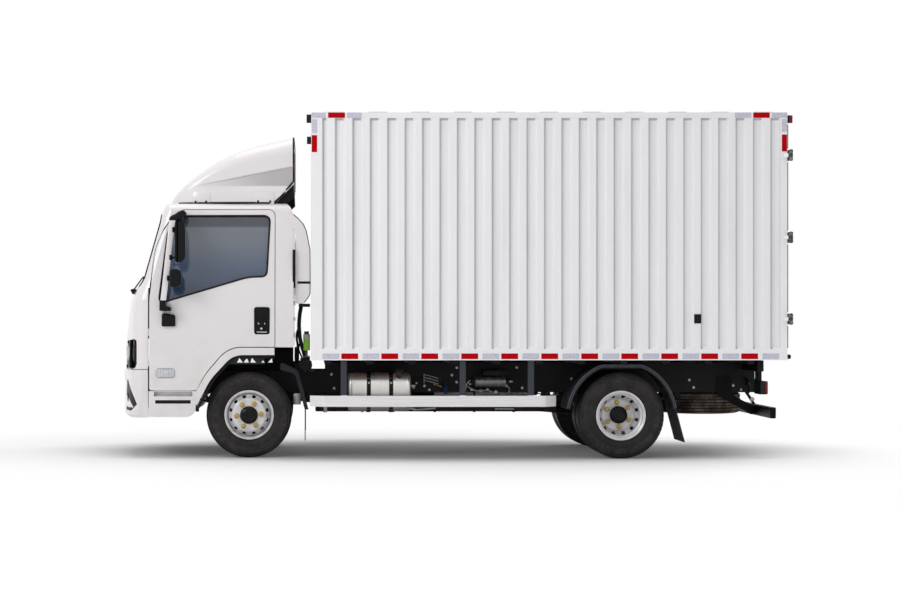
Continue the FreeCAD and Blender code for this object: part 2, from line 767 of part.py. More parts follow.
def rear_axle():
    """Axle tubes, banjo housing with its cover, pinion nose, spring seats and backing plates."""
    x, z = rear_axle_x, wheel_z
    inner_face = rear_outer_y - twin_spacing / 2 - 205
    tube = rod_y(-inner_face + 8, inner_face - 8, x, z, 58)
    spindles = both(rod_y(inner_face - 20, rear_outer_y - twin_spacing / 2 - 14, x, z, spindle_r))
    banjo = Part.makeSphere(178, V(x, 0, z)).common(box(x - 150, x + 150, -130, 130, z - 180, z + 180))
    nose = Part.makeCone(105, 55, 150, V(x + 120, 0, z), V(1, 0, 0))
    pads = both(box(x - 60, x + 60, spring_y - 42, spring_y + 42, z + 30, rear_seat_z - gap))
    plates = both(rod_y(inner_face - 12, inner_face - 6, x, z, drum_r - 2))
    return fuse([tube, banjo, nose] + spindles + pads + plates)


def channel(x0, x1, y_out, z0, z1, width, wall):
    """A rail of C section along X, its web outboard."""
    return box(x0, x1, y_out - width, y_out, z0, z1).cut(
        box(x0 - 1, x1 + 1, y_out - width - 1, y_out - wall, z0 + wall, z1 - wall))


def frame():
    """The two channel rails with the bushes of the cab's tilt pivot."""
    start = frame_rear_x + end_plate
    rail = channel(start, frame_front_x, frame_half, frame_bottom_z, frame_top_z, flange, web)
    bush = rod_y(frame_half - flange, frame_half + 2, tilt_x, tilt_z, tilt_pin_r + 16)
    bore = rod_y(frame_half - flange - 1, frame_half + 30, tilt_x, tilt_z, tilt_pin_r + gap)
    return both(rail.fuse(bush).cut(bore))


def cross_member(x):
    """A pressed channel between the rails, open to the front."""
    half = frame_half - web
    low, high = frame_bottom_z + 30, frame_top_z - 30
    bar = box(x - 35, x + 35, -half, half, low, high)
    return bar.cut(box(x - 35 + web, x + 36, -half - 1, half + 1, low + web, high - web))


def rear_plate():
    """End plate of the frame with the bolt holes for a hitch."""
    plate = box(frame_rear_x, frame_rear_x + end_plate, -frame_half, frame_half, frame_bottom_z, frame_top_z)
    return plate.cut([rod_x(frame_rear_x - 1, frame_rear_x + end_plate + 1, y, hitch_z + z, hitch_hole_r)
                      for y in (-hitch_y / 2, hitch_y / 2) for z in (-hitch_height / 2, hitch_height / 2)])


def tow_eye():
    """Flat eye on the end plate that reaches out behind the underrun bar."""
    tip = frame_rear_x - tow_reach - 42
    eye = slab_z([(frame_rear_x, -45), (frame_rear_x, 45), (tip, 45, 44), (tip, -45, 44)],
                 hitch_z - tow_thick / 2, hitch_z + tow_thick / 2)
    return eye.cut(rod_z(hitch_z - 40, hitch_z + 40, frame_rear_x - tow_reach, 0, tow_hole_r))


def cab_hoop():
    """Hoop on the rails behind the cab that its rear edge rests over."""
    foot, leg = frame_half - 4, frame_half - 60
    low, under, top = frame_top_z, 940, 990
    return slab_x([(-foot, low), (-foot, top, 60), (foot, top, 60), (foot, low), (leg, low), (leg, under, 30),
                   (-leg, under, 30), (-leg, low)], 1395, 1435)


def crossmembers():
    half = frame_half - web
    tube = rod_y(-half, half, frame_front_x - 45, tilt_z + 90, 32)
    return [cross_member(x) for x in cross_members] + [tube, rear_plate(), tow_eye(), cab_hoop()]


def subframe():
    """Two long sills on the rails."""
    return both(box(box_rear_x + 70, 1146, frame_half - 65, frame_half, frame_top_z, floor_z - bearer_height))


def floor_bearers():
    """Cross bearers on the sills that carry the box floor."""
    bearers = []
    half = box_half_width - rail_depth
    side = bearer_width / 2
    x = box_front_x - 150
    while x > box_rear_x + 150:
        bearers.append(box(x - side, x + side, -half, half, floor_z - bearer_height, floor_z))
        x -= bearer_pitch
    return bearers


def box_floor():
    return box(box_rear_x + rear_post + 2, box_front_x - 40, -box_half_width + rail_depth,
               box_half_width - rail_depth, floor_z, floor_z + floor_thick)


def box_frame():
    """Corner posts, top and bottom rails, and the rear frame with its sill and header."""
    w, t = box_half_width, rail_depth
    low = both(box(box_rear_x, box_front_x, w - t, w, box_bottom_z, rail_top_z))
    high = both(box(box_rear_x, box_front_x, w - t, w, wall_top_z, box_top_z))
    front = both(box(box_front_x - front_post, box_front_x, w - t, w, box_bottom_z, box_top_z))
    inner_face = w - leaf_inset + leaf_gap
    back = both(box(box_rear_x, box_rear_x + rear_post, inner_face, w, box_bottom_z, box_top_z))
    ends = [box(box_front_x - beam_depth, box_front_x, -w, w, box_bottom_z, rail_top_z),
            box(box_front_x - beam_depth, box_front_x, -w, w, wall_top_z, box_top_z),
            box(box_rear_x, box_rear_x + rear_post, -w, w, box_bottom_z, rail_top_z),
            box(box_rear_x, box_rear_x + rear_post, -w, w, box_top_z - header_height, box_top_z)]
    return fuse(low + high + front + back + ends)


def ribbed(start, end, out, inward):
    """Plan outline of a wall from start to end: ribs on the out side, flat on the inner side."""
    count = round(abs(end - start) / rib_pitch)
    step = (end - start) / count
    way = 1 if end > start else -1
    half = abs(step) / 2 - rib_slant
    points = []
    deep = out - rib_depth * inward
    for index in range(count):
        at = start + step * index
        crest = at + way * half / 2
        valley = crest + way * (half + rib_slant)
        points += [(at, out), (crest, out), (crest + way * rib_slant, deep), (valley, deep),
                   (valley + way * rib_slant, out)]
    back = out - (rib_depth + wall_back) * inward
    return points + [(end, out), (end, back), (start, back)]


def box_side_wall():
    """Left wall, pressed into upright ribs."""
    start = box_front_x - front_post
    profile = ribbed(start, box_rear_x + rear_post, box_half_width - 2, 1)
    return slab_z(profile, rail_top_z, wall_top_z)


def box_front_wall():
    half = box_half_width - rail_depth
    profile = [(v, u) for u, v in ribbed(-half, half, box_front_x - 2, 1)]
    return slab_z(profile, rail_top_z, wall_top_z)


def box_roof():
    """Roof sheet between the rails with shallow pressed swages across it."""
    z = box_top_z - 2
    start, end = box_front_x - 20, box_rear_x + 20
    pitch = (end - start) / roof_bumps
    top = []
    crest = z + 2 + roof_bump
    for index in range(roof_bumps):
        x = start + pitch * index
        top += [(x + pitch * 0.25, z), (x + pitch * 0.3, crest), (x + pitch * 0.7, crest),
                (x + pitch * 0.75, z)]
    profile = [(start, z - roof_skin), (start, z)] + top + [(end, z), (end, z - roof_skin)]
    edge = box_half_width - rail_depth / 2
    reach = rail_depth / 2 + 1
    low = wall_top_z - 1
    sheet = slab_y(profile, -edge, edge)
    rails = both(box(box_rear_x - 1, box_front_x + 1, edge - reach, edge + reach, low, box_top_z))
    ends = [box(x0 - 1, x1 + 1, -box_half_width, box_half_width, low, box_top_z)
            for x0, x1 in ((box_front_x - beam_depth, box_front_x), (box_rear_x, box_rear_x + rear_post))]
    return sheet.cut(rails + ends)


def box_leaf():
    """Left rear door: framed slab with pressed panels, and its three hinge straps."""
    y1 = box_half_width - leaf_inset
    panel = box(box_rear_x, box_rear_x + leaf_thick, leaf_meeting_gap / 2, y1, leaf_low_z, leaf_top_z)
    pockets = []
    columns = 5
    wide = (y1 - 190) / columns
    for column in range(columns):
        y = 90 + column * wide + 12
        pockets.append(slab_x([(y, leaf_low_z + 70), (y + wide - 12, leaf_low_z + 70),
                               (y + wide - 12, leaf_top_z - 70), (y, leaf_top_z - 70)],
                              box_rear_x - 1, box_rear_x + 12))
    panel = panel.cut(pockets)
    straps = []
    for z in hinge_heights:
        low, high = z - hinge_half, z + hinge_half
        strap = box(box_rear_x - 8, box_rear_x, y1 - 130, y1 + 2, low, high)
        arm = slab_z([(box_rear_x - 8, y1 - 20), (hinge_x - hinge_eye_r + 6, hinge_y - 14),
                      (hinge_x + 4, hinge_y), (box_rear_x - 8, y1 + 10)], low, high)
        eye = rod_z(low, high, hinge_x, hinge_y, hinge_eye_r)
        middle = rod_z(z - hinge_half / 3 - 1, z + hinge_half / 3 + 1, hinge_x, hinge_y, 60)
        bore = rod_z(low - 1, high + 1, hinge_x, hinge_y, hinge_pin_r + gap)
        arm = fuse([arm, eye]).cut([middle, bore])
        straps.append(fuse([strap, arm]))
    return fuse([panel] + straps)


def hinge_brackets():
    """Fixed hinge halves and pins on the rear posts, left side."""
    made = []
    for z in hinge_heights:
        third = hinge_half / 3 - gap
        plate = box(box_rear_x + 2, box_rear_x + rear_post, box_half_width, box_half_width + 7,
                    z - third, z + third)
        arm = slab_z([(box_rear_x + 30, box_half_width + 0.5), (box_rear_x + 2, box_half_width + 0.5),
                      (hinge_x - 4, hinge_y - hinge_eye_r + 3), (hinge_x + hinge_eye_r - 2, hinge_y + 6),
                      (box_rear_x + 30, box_half_width + 7)], z - third, z + third)
        eye = rod_z(z - third, z + third, hinge_x, hinge_y, hinge_eye_r)
        pin = rod_z(z - hinge_half - 4, z + hinge_half + 4, hinge_x, hinge_y, hinge_pin_r)
        made.append(fuse([plate, arm, eye, pin]))
    return made


def lock_gear():
    """Lock bar of the left leaf with its guides, cams and the swing handle on its hasp."""
    x = box_rear_x - lock_off
    bar = rod_z(leaf_low_z - 40, leaf_top_z + 40, x, lock_y, lock_r)
    guides = []
    foot, bow = 40, 17
    near, mid, far = box_rear_x - gap, box_rear_x - 8, x - lock_r - 3
    for z in (leaf_low_z + 60, leaf_low_z + 640, leaf_low_z + 1330, leaf_top_z - 60):
        guides.append(slab_z([(near, lock_y - foot), (mid, lock_y - foot, 4), (far, lock_y - bow, 8),
                              (far, lock_y + bow, 8), (mid, lock_y + foot, 4), (near, lock_y + foot)],
                             z - 22, z + 22))
    cams = [box(x - 16, x + 16, lock_y - 26, lock_y + 26, z, z + 34)
            for z in (leaf_low_z - 40, leaf_top_z + 6)]
    handle = slab_x([(lock_y - 8, 1330, 10), (lock_y + 430, 1330, 14), (lock_y + 430, 1362, 14),
                     (lock_y - 8, 1362, 10)], x - 9, x + 3)
    hasp = box(x + 3, box_rear_x - gap, lock_y + 330, lock_y + 380, 1310, 1382)
    return fuse([bar, handle, hasp] + guides + cams)


def leaf_pack(x, z, length, rise, count, thick, side):
    """Stack of curved leaves, each shorter than the one above, with rolled eyes on the top leaf."""
    made = []
    for index in range(count):
        half = length * (1 - 0.16 * index)
        lift = rise * (half / length) ** 2
        top = z + (count - index) * thick
        low = top - thick
        y = side * spring_y - spring_width / 2
        upper = Part.Arc(V(x - half, y, top + lift), V(x, y, top), V(x + half, y, top + lift)).toShape()
        lower = Part.Arc(V(x + half, y, low + lift), V(x, y, low), V(x - half, y, low + lift)).toShape()
        ends = [Part.makeLine(V(x + half, y, top + lift), V(x + half, y, low + lift)),
                Part.makeLine(V(x - half, y, low + lift), V(x - half, y, top + lift))]
        made.append(Part.Face(Part.Wire([upper, ends[0], lower, ends[1]])).extrude(V(0, spring_width, 0)))
    eye_z = z + count * thick - thick / 2 + rise
    y0, y1 = side * spring_y - spring_width / 2, side * spring_y + spring_width / 2
    for way in (-1, 1):
        end = x + way * length
        made.append(rod_y(y0, y1, end, eye_z, 20))
        made.append(box(end - 24, end + 24, y0 - 2, y1 + 2, eye_z + 4, frame_bottom_z))
    return fuse(made)


def leaf_springs():
    front = [leaf_pack(front_axle_x, 410 + gap, 560, 100, 4, 9, side) for side in (-1, 1)]
    rear = [leaf_pack(rear_axle_x, rear_seat_z, 620, 40, 4, rear_leaf, side) for side in (-1, 1)]
    return front + rear


def engine():
    """Engine block, gearbox and propeller shaft to the rear axle."""
    block = slab_x(engine_outline, engine_x[0], engine_x[1])
    bell = Part.makeCone(150, 210, 140, V(gearbox_x[1] - 140, 0, shaft_z + 90), V(1, 0, 0))
    gears = box(gearbox_x[0], gearbox_x[1] - 120, -120, 120, shaft_z - 90, shaft_z + 190)
    feet = both(box(1700, 1760, 200, frame_half - web, 640, 690))
    tail_foot = box(cross_members[5] - 35 + web, gearbox_x[0] + 20, -40, 40, shaft_z + 60, shaft_z + 100)
    return fuse([block, bell, gears, tail_foot] + feet)


def drive_shaft():
    """Propeller shaft with its joints, from the gearbox to the pinion."""
    start = V(gearbox_x[0] - gap, 0, shaft_z)
    end = V(rear_axle_x + 271, 0, wheel_z)
    way = (end - start).normalize()
    tube = rod(start + way * 60, end - way * 60, 38)
    ends = [rod(start, start + way * 90, 42), rod(end - way * 90, end, 42)]
    rear_cut = rod_x(rear_axle_x, rear_axle_x + 270 + gap, 0, wheel_z, 120)
    front_cut = box(gearbox_x[0] - gap, gearbox_x[0] + 100, -200, 200, 300, 800)
    return fuse([tube] + ends).cut([rear_cut, front_cut])


def radiator():
    core = box(radiator_x, radiator_x + 55, -270, 270, 600, 985)
    tanks = [box(radiator_x - 10, radiator_x + 65, -285, 285, z, z + 50) for z in (560, 955)]
    shroud = slab_x([(-240, 620, 60), (240, 620, 60), (240, 940, 60), (-240, 940, 60)], radiator_x - 50,
                    radiator_x)
    return fuse([core, shroud] + tanks)


def tank_form(growth):
    """The tank's outline seen from the front, grown all round."""
    y0, y1 = tank_y
    z0, z1 = tank_z
    return grown([(y0, z0, 90), (y1, z0, 130), (y1, z1, 130), (y0, z1, 90)], growth)


def fuel_tank():
    """Tank with rolled end seams, its filler neck and cap."""
    y1, z1 = tank_y[1], tank_z[1]
    body = slab_x(tank_form(0), tank_x[0], tank_x[1])
    seams = [slab_x(tank_form(4), x, x + 8) for x in (tank_x[0] + 4, tank_x[1] - 12)]
    neck = rod(V(480, y1 - 60, z1 - 60), V(480, y1 + 15, z1 + 10), 30)
    cap = rod(V(480, y1 + 8, z1 + 3), V(480, y1 + 34, z1 + 28), 38)
    return fuse([body, neck, cap] + seams)


def tank_brackets():
    """Straps round the tank and the cradles that hang it on the left rail."""
    y0, z0 = tank_y[0], tank_z[0]
    made = []
    for x in strap_x:
        ring = slab_x(tank_form(5), x - 18, x + 18).cut(slab_x(tank_form(gap), x - 19, x + 19))
        cradle = slab_x([(frame_half, frame_bottom_z + 20), (frame_half, frame_top_z - 20),
                         (y0 - 1, frame_top_z - 20), (y0 - 1, z0 + 60), (y0 - 60, z0 + 60, 40),
                         (frame_half + 30, frame_bottom_z + 20, 20)], x - 18, x + 18)
        cradle = cradle.cut(slab_x(tank_form(gap), x - 30, x + 30))
        made.append(fuse([ring, cradle]))
    return made


def exhaust():
    """Silencer under the load floor on the right, with its pipes and hangers."""
    y, z = -500, 480
    can = rod_x(80, 700, y, z, 95)
    bends = [V(1300, y, z), V(1390, -400, 536), V(1500, -190, 536)]
    inlet = fuse([rod_x(690, 1300, y, z, 25), rod(bends[0], bends[1], 25), rod(bends[1], bends[2], 25)]
                 + [Part.makeSphere(25, p) for p in bends[:2]])
    tail = fuse([rod_x(-700, 90, y, z, 28), Part.makeSphere(28, V(-700, y, z)),
                 rod(V(-700, y, z), V(-860, -880, z), 28)])
    sump = slab_x(engine_outline, engine_x[0] - 200, engine_x[1])
    hangers = [box(x - 15, x + 15, y - 10, -frame_half, z + 60, frame_bottom_z + 60) for x in (150, 600)]
    hangers = [h.cut(rod_x(0, 800, y, z, 80)) for h in hangers]
    return fuse([can, inlet, tail] + hangers).cut(sump)


def battery_box():
    """Battery box and air tank on the right rail, dryer and air cleaner on the left."""
    battery = slab_x([(-930, 480, 15), (-560, 480, 15), (-560, 740, 15), (-930, 740, 15)], 860, 1240)
    lid = slab_x([(-938, 726, 12), (-552, 726, 12), (-552, 752, 12), (-938, 752, 12)], 852, 1248)
    arms = [box(x - 20, x + 20, -570, -frame_half, 600, 660) for x in (920, 1180)]
    tank = rod_x(-420, 0, -520, 660, 90)
    tank_arms = [box(x - 12, x + 12, -500, -frame_half, 640, 680) for x in (-340, -80)]
    dryer = rod_x(-515, -235, 560, 682, 45)
    rings = [rod_x(x - 5, x + 5, 560, 682, 50) for x in range(-490, -240, 40)]
    dryer_arm = box(-400, -330, frame_half, 540, 670, 720)
    cleaner = fuse([rod_x(1290, 1380, 620, 838, 64), rod_x(1380, 1392, 620, 838, 40)])
    cleaner_arm = box(1310, 1350, frame_half - 40, 600, frame_top_z, 792)
    return [fuse([battery, lid] + arms), fuse([tank] + tank_arms), fuse([dryer, dryer_arm] + rings),
            fuse([cleaner, cleaner_arm])]


def side_guard():
    """Side guard rail, its ends turned in, on posts from the floor bearers."""
    x0, x1 = guard_x
    y = guard_y
    z0, z1 = guard_z
    path = [(x0, y - 90), (x0, y - 78), (x0 + 110, y + 22, 60), (x1 - 120, y + 22, 60), (x1, y - 78),
            (x1, y - 90), (x1 - 124, y + 10, 60), (x0 + 114, y + 10, 60)]
    rail = slab_z(path, z0, z1)
    lips = [slab_z([(x0 + 120, y - 8), (x0 + 120, y + 16), (x1 - 128, y + 16), (x1 - 128, y - 8)], z, z + 5)
            for z in (z0, z1 - 5)]
    posts = [box(x - 27, x + 27, y - 40, y + 11, z0 + 8, box_bottom_z) for x in guard_posts]
    return fuse([rail] + lips + posts)


def mudguards():
    """Rear arched guards over the twin wheels with their flaps and stays; front rear-arms with flaps."""
    x, z = rear_axle_x, wheel_z
    y0, y1 = 545, 1015
    top = box(x - 620, x + 620, y0 - 2, y1 + 2, z + 60, fender_top_z)
    under = box(x - 620, x + 620, y0 - 2, y1 + 2, z + 50, fender_top_z - fender_outer + fender_inner)
    hollow = rod_y(y0 - 1, y1 + 1, x, z, fender_inner).common(under)
    arch = rod_y(y0, y1, x, z, fender_outer).common(top).cut(hollow)
    flap = slab_y([(x - 488, z + 64), (x - 480, z + 64), (x - 560, 150), (x - 568, 150)], y0, y1)
    stay = [rod_y(frame_half, y1 - 30, x + dx, z + 408, 12) for dx in (-260, 260)]
    rear = fuse([arch, flap] + stay)
    path = [(1560, 800), (1560, 808), (1417, 770, 60), (1330, 440), (1330, 160), (1338, 160), (1338, 439),
            (1425, 762, 60)]
    skirt = slab_y([(1560, 800), (1560, 872, 20), (1400, 796, 80), (1303, 440), (1338, 438), (1425, 762, 60)],
                   872, 880)
    arm = slab_y(path, 620, 880).fuse(skirt)
    stay_front = rod_y(frame_half, 640, 1400, 735, 12)
    return [rear, fuse([arm, stay_front])]


def spare_wheel():
    """Spare tyre, lying flat under the rear of the frame."""
    shape = tyre(0, 0)
    shape.Placement = FreeCAD.Placement(V(0, 0, 0), FreeCAD.Rotation(V(1, 0, 0), 90))
    box_ = shape.BoundBox
    shape.translate(V(spare_x, 0, spare_z) - V(box_.Center.x, box_.Center.y, box_.Center.z))
    return shape


def spare_carrier():
    """Spare rim with the winch bar and chain block that hold it to the frame."""
    disc = rod_z(spare_z - 60, spare_z + 60, spare_x, 0, bead_r).cut(
        rod_z(spare_z - 61, spare_z + 48, spare_x, 0, bead_r - 8))
    disc = disc.cut(rod_z(spare_z, spare_z + 70, spare_x, 0, 55))
    plate = box(spare_x - 80, spare_x + 80, -30, 30, spare_z + 36, spare_z + 50)
    post = rod_z(spare_z + 40, frame_bottom_z + 70, spare_x, 0, 16)
    bar = box(spare_x - 25, spare_x + 25, -frame_half + web, frame_half - web, frame_bottom_z + 60,
              frame_bottom_z + 110)
    return fuse([disc, plate, post, bar])


def underrun_bar():
    """Rear underrun bar on two slanted arms from the rails."""
    bar = slab_y([(underrun_x - 26, 364, 10), (underrun_x + 26, 364, 10), (underrun_x + 26, 464, 10),
                  (underrun_x - 26, 464, 10)], -1000, 1000)
    arm = slab_y([(-2640, frame_top_z - 50, 20), (-2640, frame_bottom_z - 20, 60), (-2860, 440), (-2860, 370),
                  (-2820, 370), (-2500, frame_bottom_z - 20, 60), (-2500, frame_top_z - 50, 20)],
                 frame_half, frame_half + 12)
    return fuse([bar] + both(arm))


def rear_lamps():
    """Tail lamps under the box and small marker lamps at its top corners."""
    tail = slab_x([(760, 580, 20), (1010, 580, 20), (1010, 700, 20), (760, 700, 20)], -2830, -2765)
    stem = box(-2800, -2775, 860, 900, 700, floor_z)
    rear_marker = slab_x([(1010, 3020, 12), (1060, 3020, 12), (1060, 3090, 12), (1010, 3090, 12)],
                         box_rear_x - 56, box_rear_x)
    front_marker = slab_x([(1030, 3020, 12), (1080, 3020, 12), (1080, 3095, 12), (1030, 3095, 12)],
                          box_front_x, box_front_x + 42)
    return both(fuse([tail, stem])) + both(rear_marker) + both(front_marker)


def coolant_bottle():
    body = slab_z([(1290, 560, 18), (1352, 560, 18), (1352, 700, 18), (1290, 700, 18)], 972, 1120)
    cap = rod_z(1120, 1146, 1322, 630, 22)
    stand = box(1310, 1334, 600, 660, 910, 972)
    leg_y = frame_half - flange + 6
    arm = box(1290, 1350, leg_y, 660, 906, 918)
    leg = box(1290, 1350, leg_y, leg_y + 12, frame_top_z, 918)
    return fuse([body, cap, stand, arm, leg])


def export(name, shapes):
    shape = shapes if isinstance(shapes, Part.Shape) else solids(shapes)
    pieces = shape.Solids
    shape = pieces[0] if len(pieces) == 1 else shape
    shape.exportStep("parts/%s.step" % name)


def build():
    os.makedirs("parts", exist_ok=True)
    export("frame", frame())
    export("crossmembers", crossmembers())
    export("subframe", subframe())
    export("floor_bearers", floor_bearers())
    export("box_floor", box_floor())
    export("box_frame", [box_frame()] + [s for b in hinge_brackets() for s in both(b)])
    wall = box_side_wall()
    export("box_wall_left", wall)
    export("box_wall_right", mirror(wall))
    export("box_wall_front", box_front_wall())
    export("box_roof", box_roof())
    export("front_axle", front_axle())
    export("rear_axle", rear_axle())
    export("leaf_springs", leaf_springs())
    export("engine", engine())
    export("drive_shaft", drive_shaft())
    export("radiator", radiator())
    export("fuel_tank", fuel_tank())
    export("tank_brackets", tank_brackets())
    export("exhaust", exhaust())
    export("battery_box", battery_box())
    export("side_guards", both(side_guard()))
    export("mudguards", [s for m in mudguards() for s in both(m)])
    export("spare_tyre", spare_wheel())
    export("spare_carrier", spare_carrier())
    export("underrun_bar", underrun_bar())
    export("rear_lamps", rear_lamps())
    export("coolant_bottle", coolant_bottle())

    export("cab_shell", cab_shell())
    export("cab_floor", cab_floor())
    export("front_panel", front_panel())
    export("bumper", bumper())
    export("step_panels", step_panels())
    export("cab_glass", cab_glass())
    export("headlamps", headlamps())
    export("roof_fairing", roof_fairing())
    export("intake_duct", intake_duct())
    export("dashboard", dashboard())
    export("seats", seats())
    export("steering_wheel", steering_wheel())

    panel, pane = door_panel(), door_glass()
    mirror_set = mirrors()
    hub_set = {"knuckle": knuckle(), "rim_front": front_rim(),
               "tyre_front": tyre(front_axle_x, front_wheel_y), "rims_rear": rear_rims()}
    twins = [tyre(rear_axle_x, rear_outer_y), tyre(rear_axle_x, rear_outer_y - twin_spacing)]
    leaf, lock = box_leaf(), lock_gear()
    for side in ("left", "right"):
        turn = (lambda shape: shape) if side == "left" else mirror
        export("door_" + side, turn(panel))
        export("door_glass_" + side, turn(pane))
        export("mirrors_" + side, [turn(piece) for piece in mirror_set])
        for name, shape in hub_set.items():
            export(name + "_" + side, turn(shape))
        export("tyres_rear_" + side, [turn(piece) for piece in twins])
        export("box_leaf_" + side, turn(leaf))
        export("lock_gear_" + side, turn(lock))
    export("tie_rod", tie_rod())


build()
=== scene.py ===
# %% [markdown]
# # A box truck, dressed over its CAD frame
# The CAD model gives every main body its exact place and size. This lesson adds what CAD leaves out:
# paint, rubber, glass, tape, tread, bolts, seals, cushions and lamps. All sizes are in metres, +X points
# forward, +Y to the truck's left and +Z up, with the ground at Z = 0.

# %% Load the frame
import math
import bpy
from mathutils import Matrix, Vector


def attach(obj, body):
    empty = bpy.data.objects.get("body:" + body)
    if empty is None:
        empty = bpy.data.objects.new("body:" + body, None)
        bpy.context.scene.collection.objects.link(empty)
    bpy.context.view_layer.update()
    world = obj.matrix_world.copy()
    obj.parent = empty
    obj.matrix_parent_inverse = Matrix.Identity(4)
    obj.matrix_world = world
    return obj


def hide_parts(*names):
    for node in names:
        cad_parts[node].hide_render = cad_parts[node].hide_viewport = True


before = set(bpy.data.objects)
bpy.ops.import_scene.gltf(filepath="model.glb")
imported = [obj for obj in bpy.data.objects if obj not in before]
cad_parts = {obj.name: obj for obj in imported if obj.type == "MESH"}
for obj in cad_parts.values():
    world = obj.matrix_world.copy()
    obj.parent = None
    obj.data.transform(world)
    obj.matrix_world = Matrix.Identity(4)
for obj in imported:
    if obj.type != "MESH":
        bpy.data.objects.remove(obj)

scene = bpy.context.scene
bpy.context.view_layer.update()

# %% [markdown]
# ## The camera
# The photograph is a level side view from far away, cut a little off centre. A long lens far back gives
# the same mild perspective, and the two shift values slide the frame without turning the camera.

# %% Camera
PHOTO_WIDTH, PHOTO_HEIGHT = 900, 612
AXIS_PIXEL = (310, 315)
FOCAL_PIXELS = 1899
camera_data = bpy.data.cameras.new("camera")
camera_data.sensor_width = 36
camera_data.lens = FOCAL_PIXELS / PHOTO_WIDTH * camera_data.sensor_width
camera_data.shift_x = (PHOTO_WIDTH / 2 - AXIS_PIXEL[0]) / PHOTO_WIDTH
camera_data.shift_y = (AXIS_PIXEL[1] - PHOTO_HEIGHT / 2) / PHOTO_WIDTH
camera_data.clip_end = 200
camera = bpy.data.objects.new("camera", camera_data)
camera.location = (1.29, 18.1, 1.296)
camera.rotation_euler = (math.pi / 2, 0, math.pi)
scene.collection.objects.link(camera)
scene.camera = camera
scene.view_settings.view_transform = "Standard"
print("lens", round(camera_data.lens, 1), "mm")

# %% [markdown]
# ## Shader maths
# A material is a small network of nodes. Writing it as Python expressions keeps it readable, so one class
# wraps a socket: adding or multiplying two of them adds the Math node that does it.

# %% Socket wrapper and finish builder
def linear(code):
    """A colour written as #rrggbb, turned into the linear values that shaders use."""
    parts = [int(code[i:i + 2], 16) for i in (1, 3, 5)]
    return [((c / 255 + 0.055) / 1.055) ** 2.4 if c > 10 else c / 255 / 12.92 for c in parts] + [1]


class Value:
    """A socket of a net. Arithmetic on it adds Math nodes."""

    def __init__(self, net, socket):
        self.net, self.socket = net, socket

    def math(self, operation, *others):
        return self.net.node("Math", {"operation": operation}, dict(enumerate((self,) + others)))

    def __rsub__(self, other):
        return self.net.node("Math", {"operation": "SUBTRACT"}, {0: other, 1: self})

    def clamp(self):
        return self.net.node("Clamp", {}, {0: self})

    def smooth(self, low, high):
        """Rises softly from 0 to 1 between two values."""
        return self.net.node("MapRange", {"interpolation_type": "SMOOTHSTEP"}, {0: self, 1: low, 2: high})


OPERATORS = {"add": "ADD", "radd": "ADD", "sub": "SUBTRACT", "mul": "MULTIPLY", "rmul": "MULTIPLY",
             "truediv": "DIVIDE", "gt": "GREATER_THAN", "lt": "LESS_THAN", "mod": "FLOORED_MODULO"}
for sign, operation in OPERATORS.items():
    setattr(Value, f"__{sign}__", lambda self, other, operation=operation: self.math(operation, other))


class Net:
    """A node tree that grows by short calls."""

    def __init__(self, tree):
        self.tree = tree

    def feed(self, target, value):
        """Links a value to a socket, or sets the socket to a number or a colour."""
        if isinstance(value, Value):
            self.tree.links.new(value.socket, target)
        else:
            target.default_value = linear(value) if isinstance(value, str) else value

    def node(self, kind, settings, links, out=0):
        """Adds a node: its settings first, then the values or links of its sockets."""
        node = self.tree.nodes.new("ShaderNode" + kind)
        for name, value in settings.items():
            setattr(node, name, value)
        for name, value in links.items():
            self.feed(node.inputs[name], value)
        return Value(self, node.outputs[out])


class Finish(Net):
    """A material under construction, with the few nodes that nearly all of them need."""

    def __init__(self, name, slot, **sockets):
        self.material = bpy.data.materials.new(name)
        self.material.use_nodes = True
        super().__init__(self.material.node_tree)
        self.slot = slot
        self.place = self.node("TexCoord", {}, {}, "Object")
        self.set(**sockets)

    def set(self, **sockets):
        """Sets or links sockets of the shader. An underline in a name stands for a space."""
        for name, value in sockets.items():
            self.feed(self.tree.nodes["Principled BSDF"].inputs[name.replace("_", " ")], value)

    def axes(self):
        """The three object coordinates as values."""
        return [self.node("SeparateXYZ", {}, {0: self.place}, i) for i in range(3)]

    def noise(self, scale, detail=3, stretch=None):
        """Cloudy noise, also stretched by a factor for each axis."""
        place = self.node("Mapping", {}, {"Vector": self.place, "Scale": stretch}) if stretch else self.place
        return self.node("TexNoise", {}, {"Vector": place, "Scale": scale, "Detail": detail}, "Fac")

    def cells(self, scale, feature="F1"):
        return self.node("TexVoronoi", {"feature": feature}, {"Vector": self.place, "Scale": scale}, "Distance")

    def far(self, x=0, y=0, z=0):
        """The length of a vector. An axis that is left out counts as 0."""
        vector = self.node("CombineXYZ", {}, {0: x, 1: y, 2: z})
        return self.node("VectorMath", {"operation": "LENGTH"}, {0: vector}, 1)

    def ramp(self, factor, *stops):
        """Colours along a factor, from (position, colour) stops."""
        result = self.node("ValToRGB", {}, {0: factor})
        elements = result.socket.node.color_ramp.elements
        for i, (position, color) in enumerate(stops):
            element = elements[i] if i < len(elements) else elements.new(position)
            element.position, element.color = position, linear(color)
        return result

    def mix(self, factor, first, second):
        return self.node("Mix", {"data_type": "RGBA"}, {0: factor, 6: first, 7: second}, 2)

    def bump(self, height, strength, distance):
        self.set(Normal=self.node("Bump", {}, {"Height": height, "Strength": strength, "Distance": distance}))


print("shader tools ready")
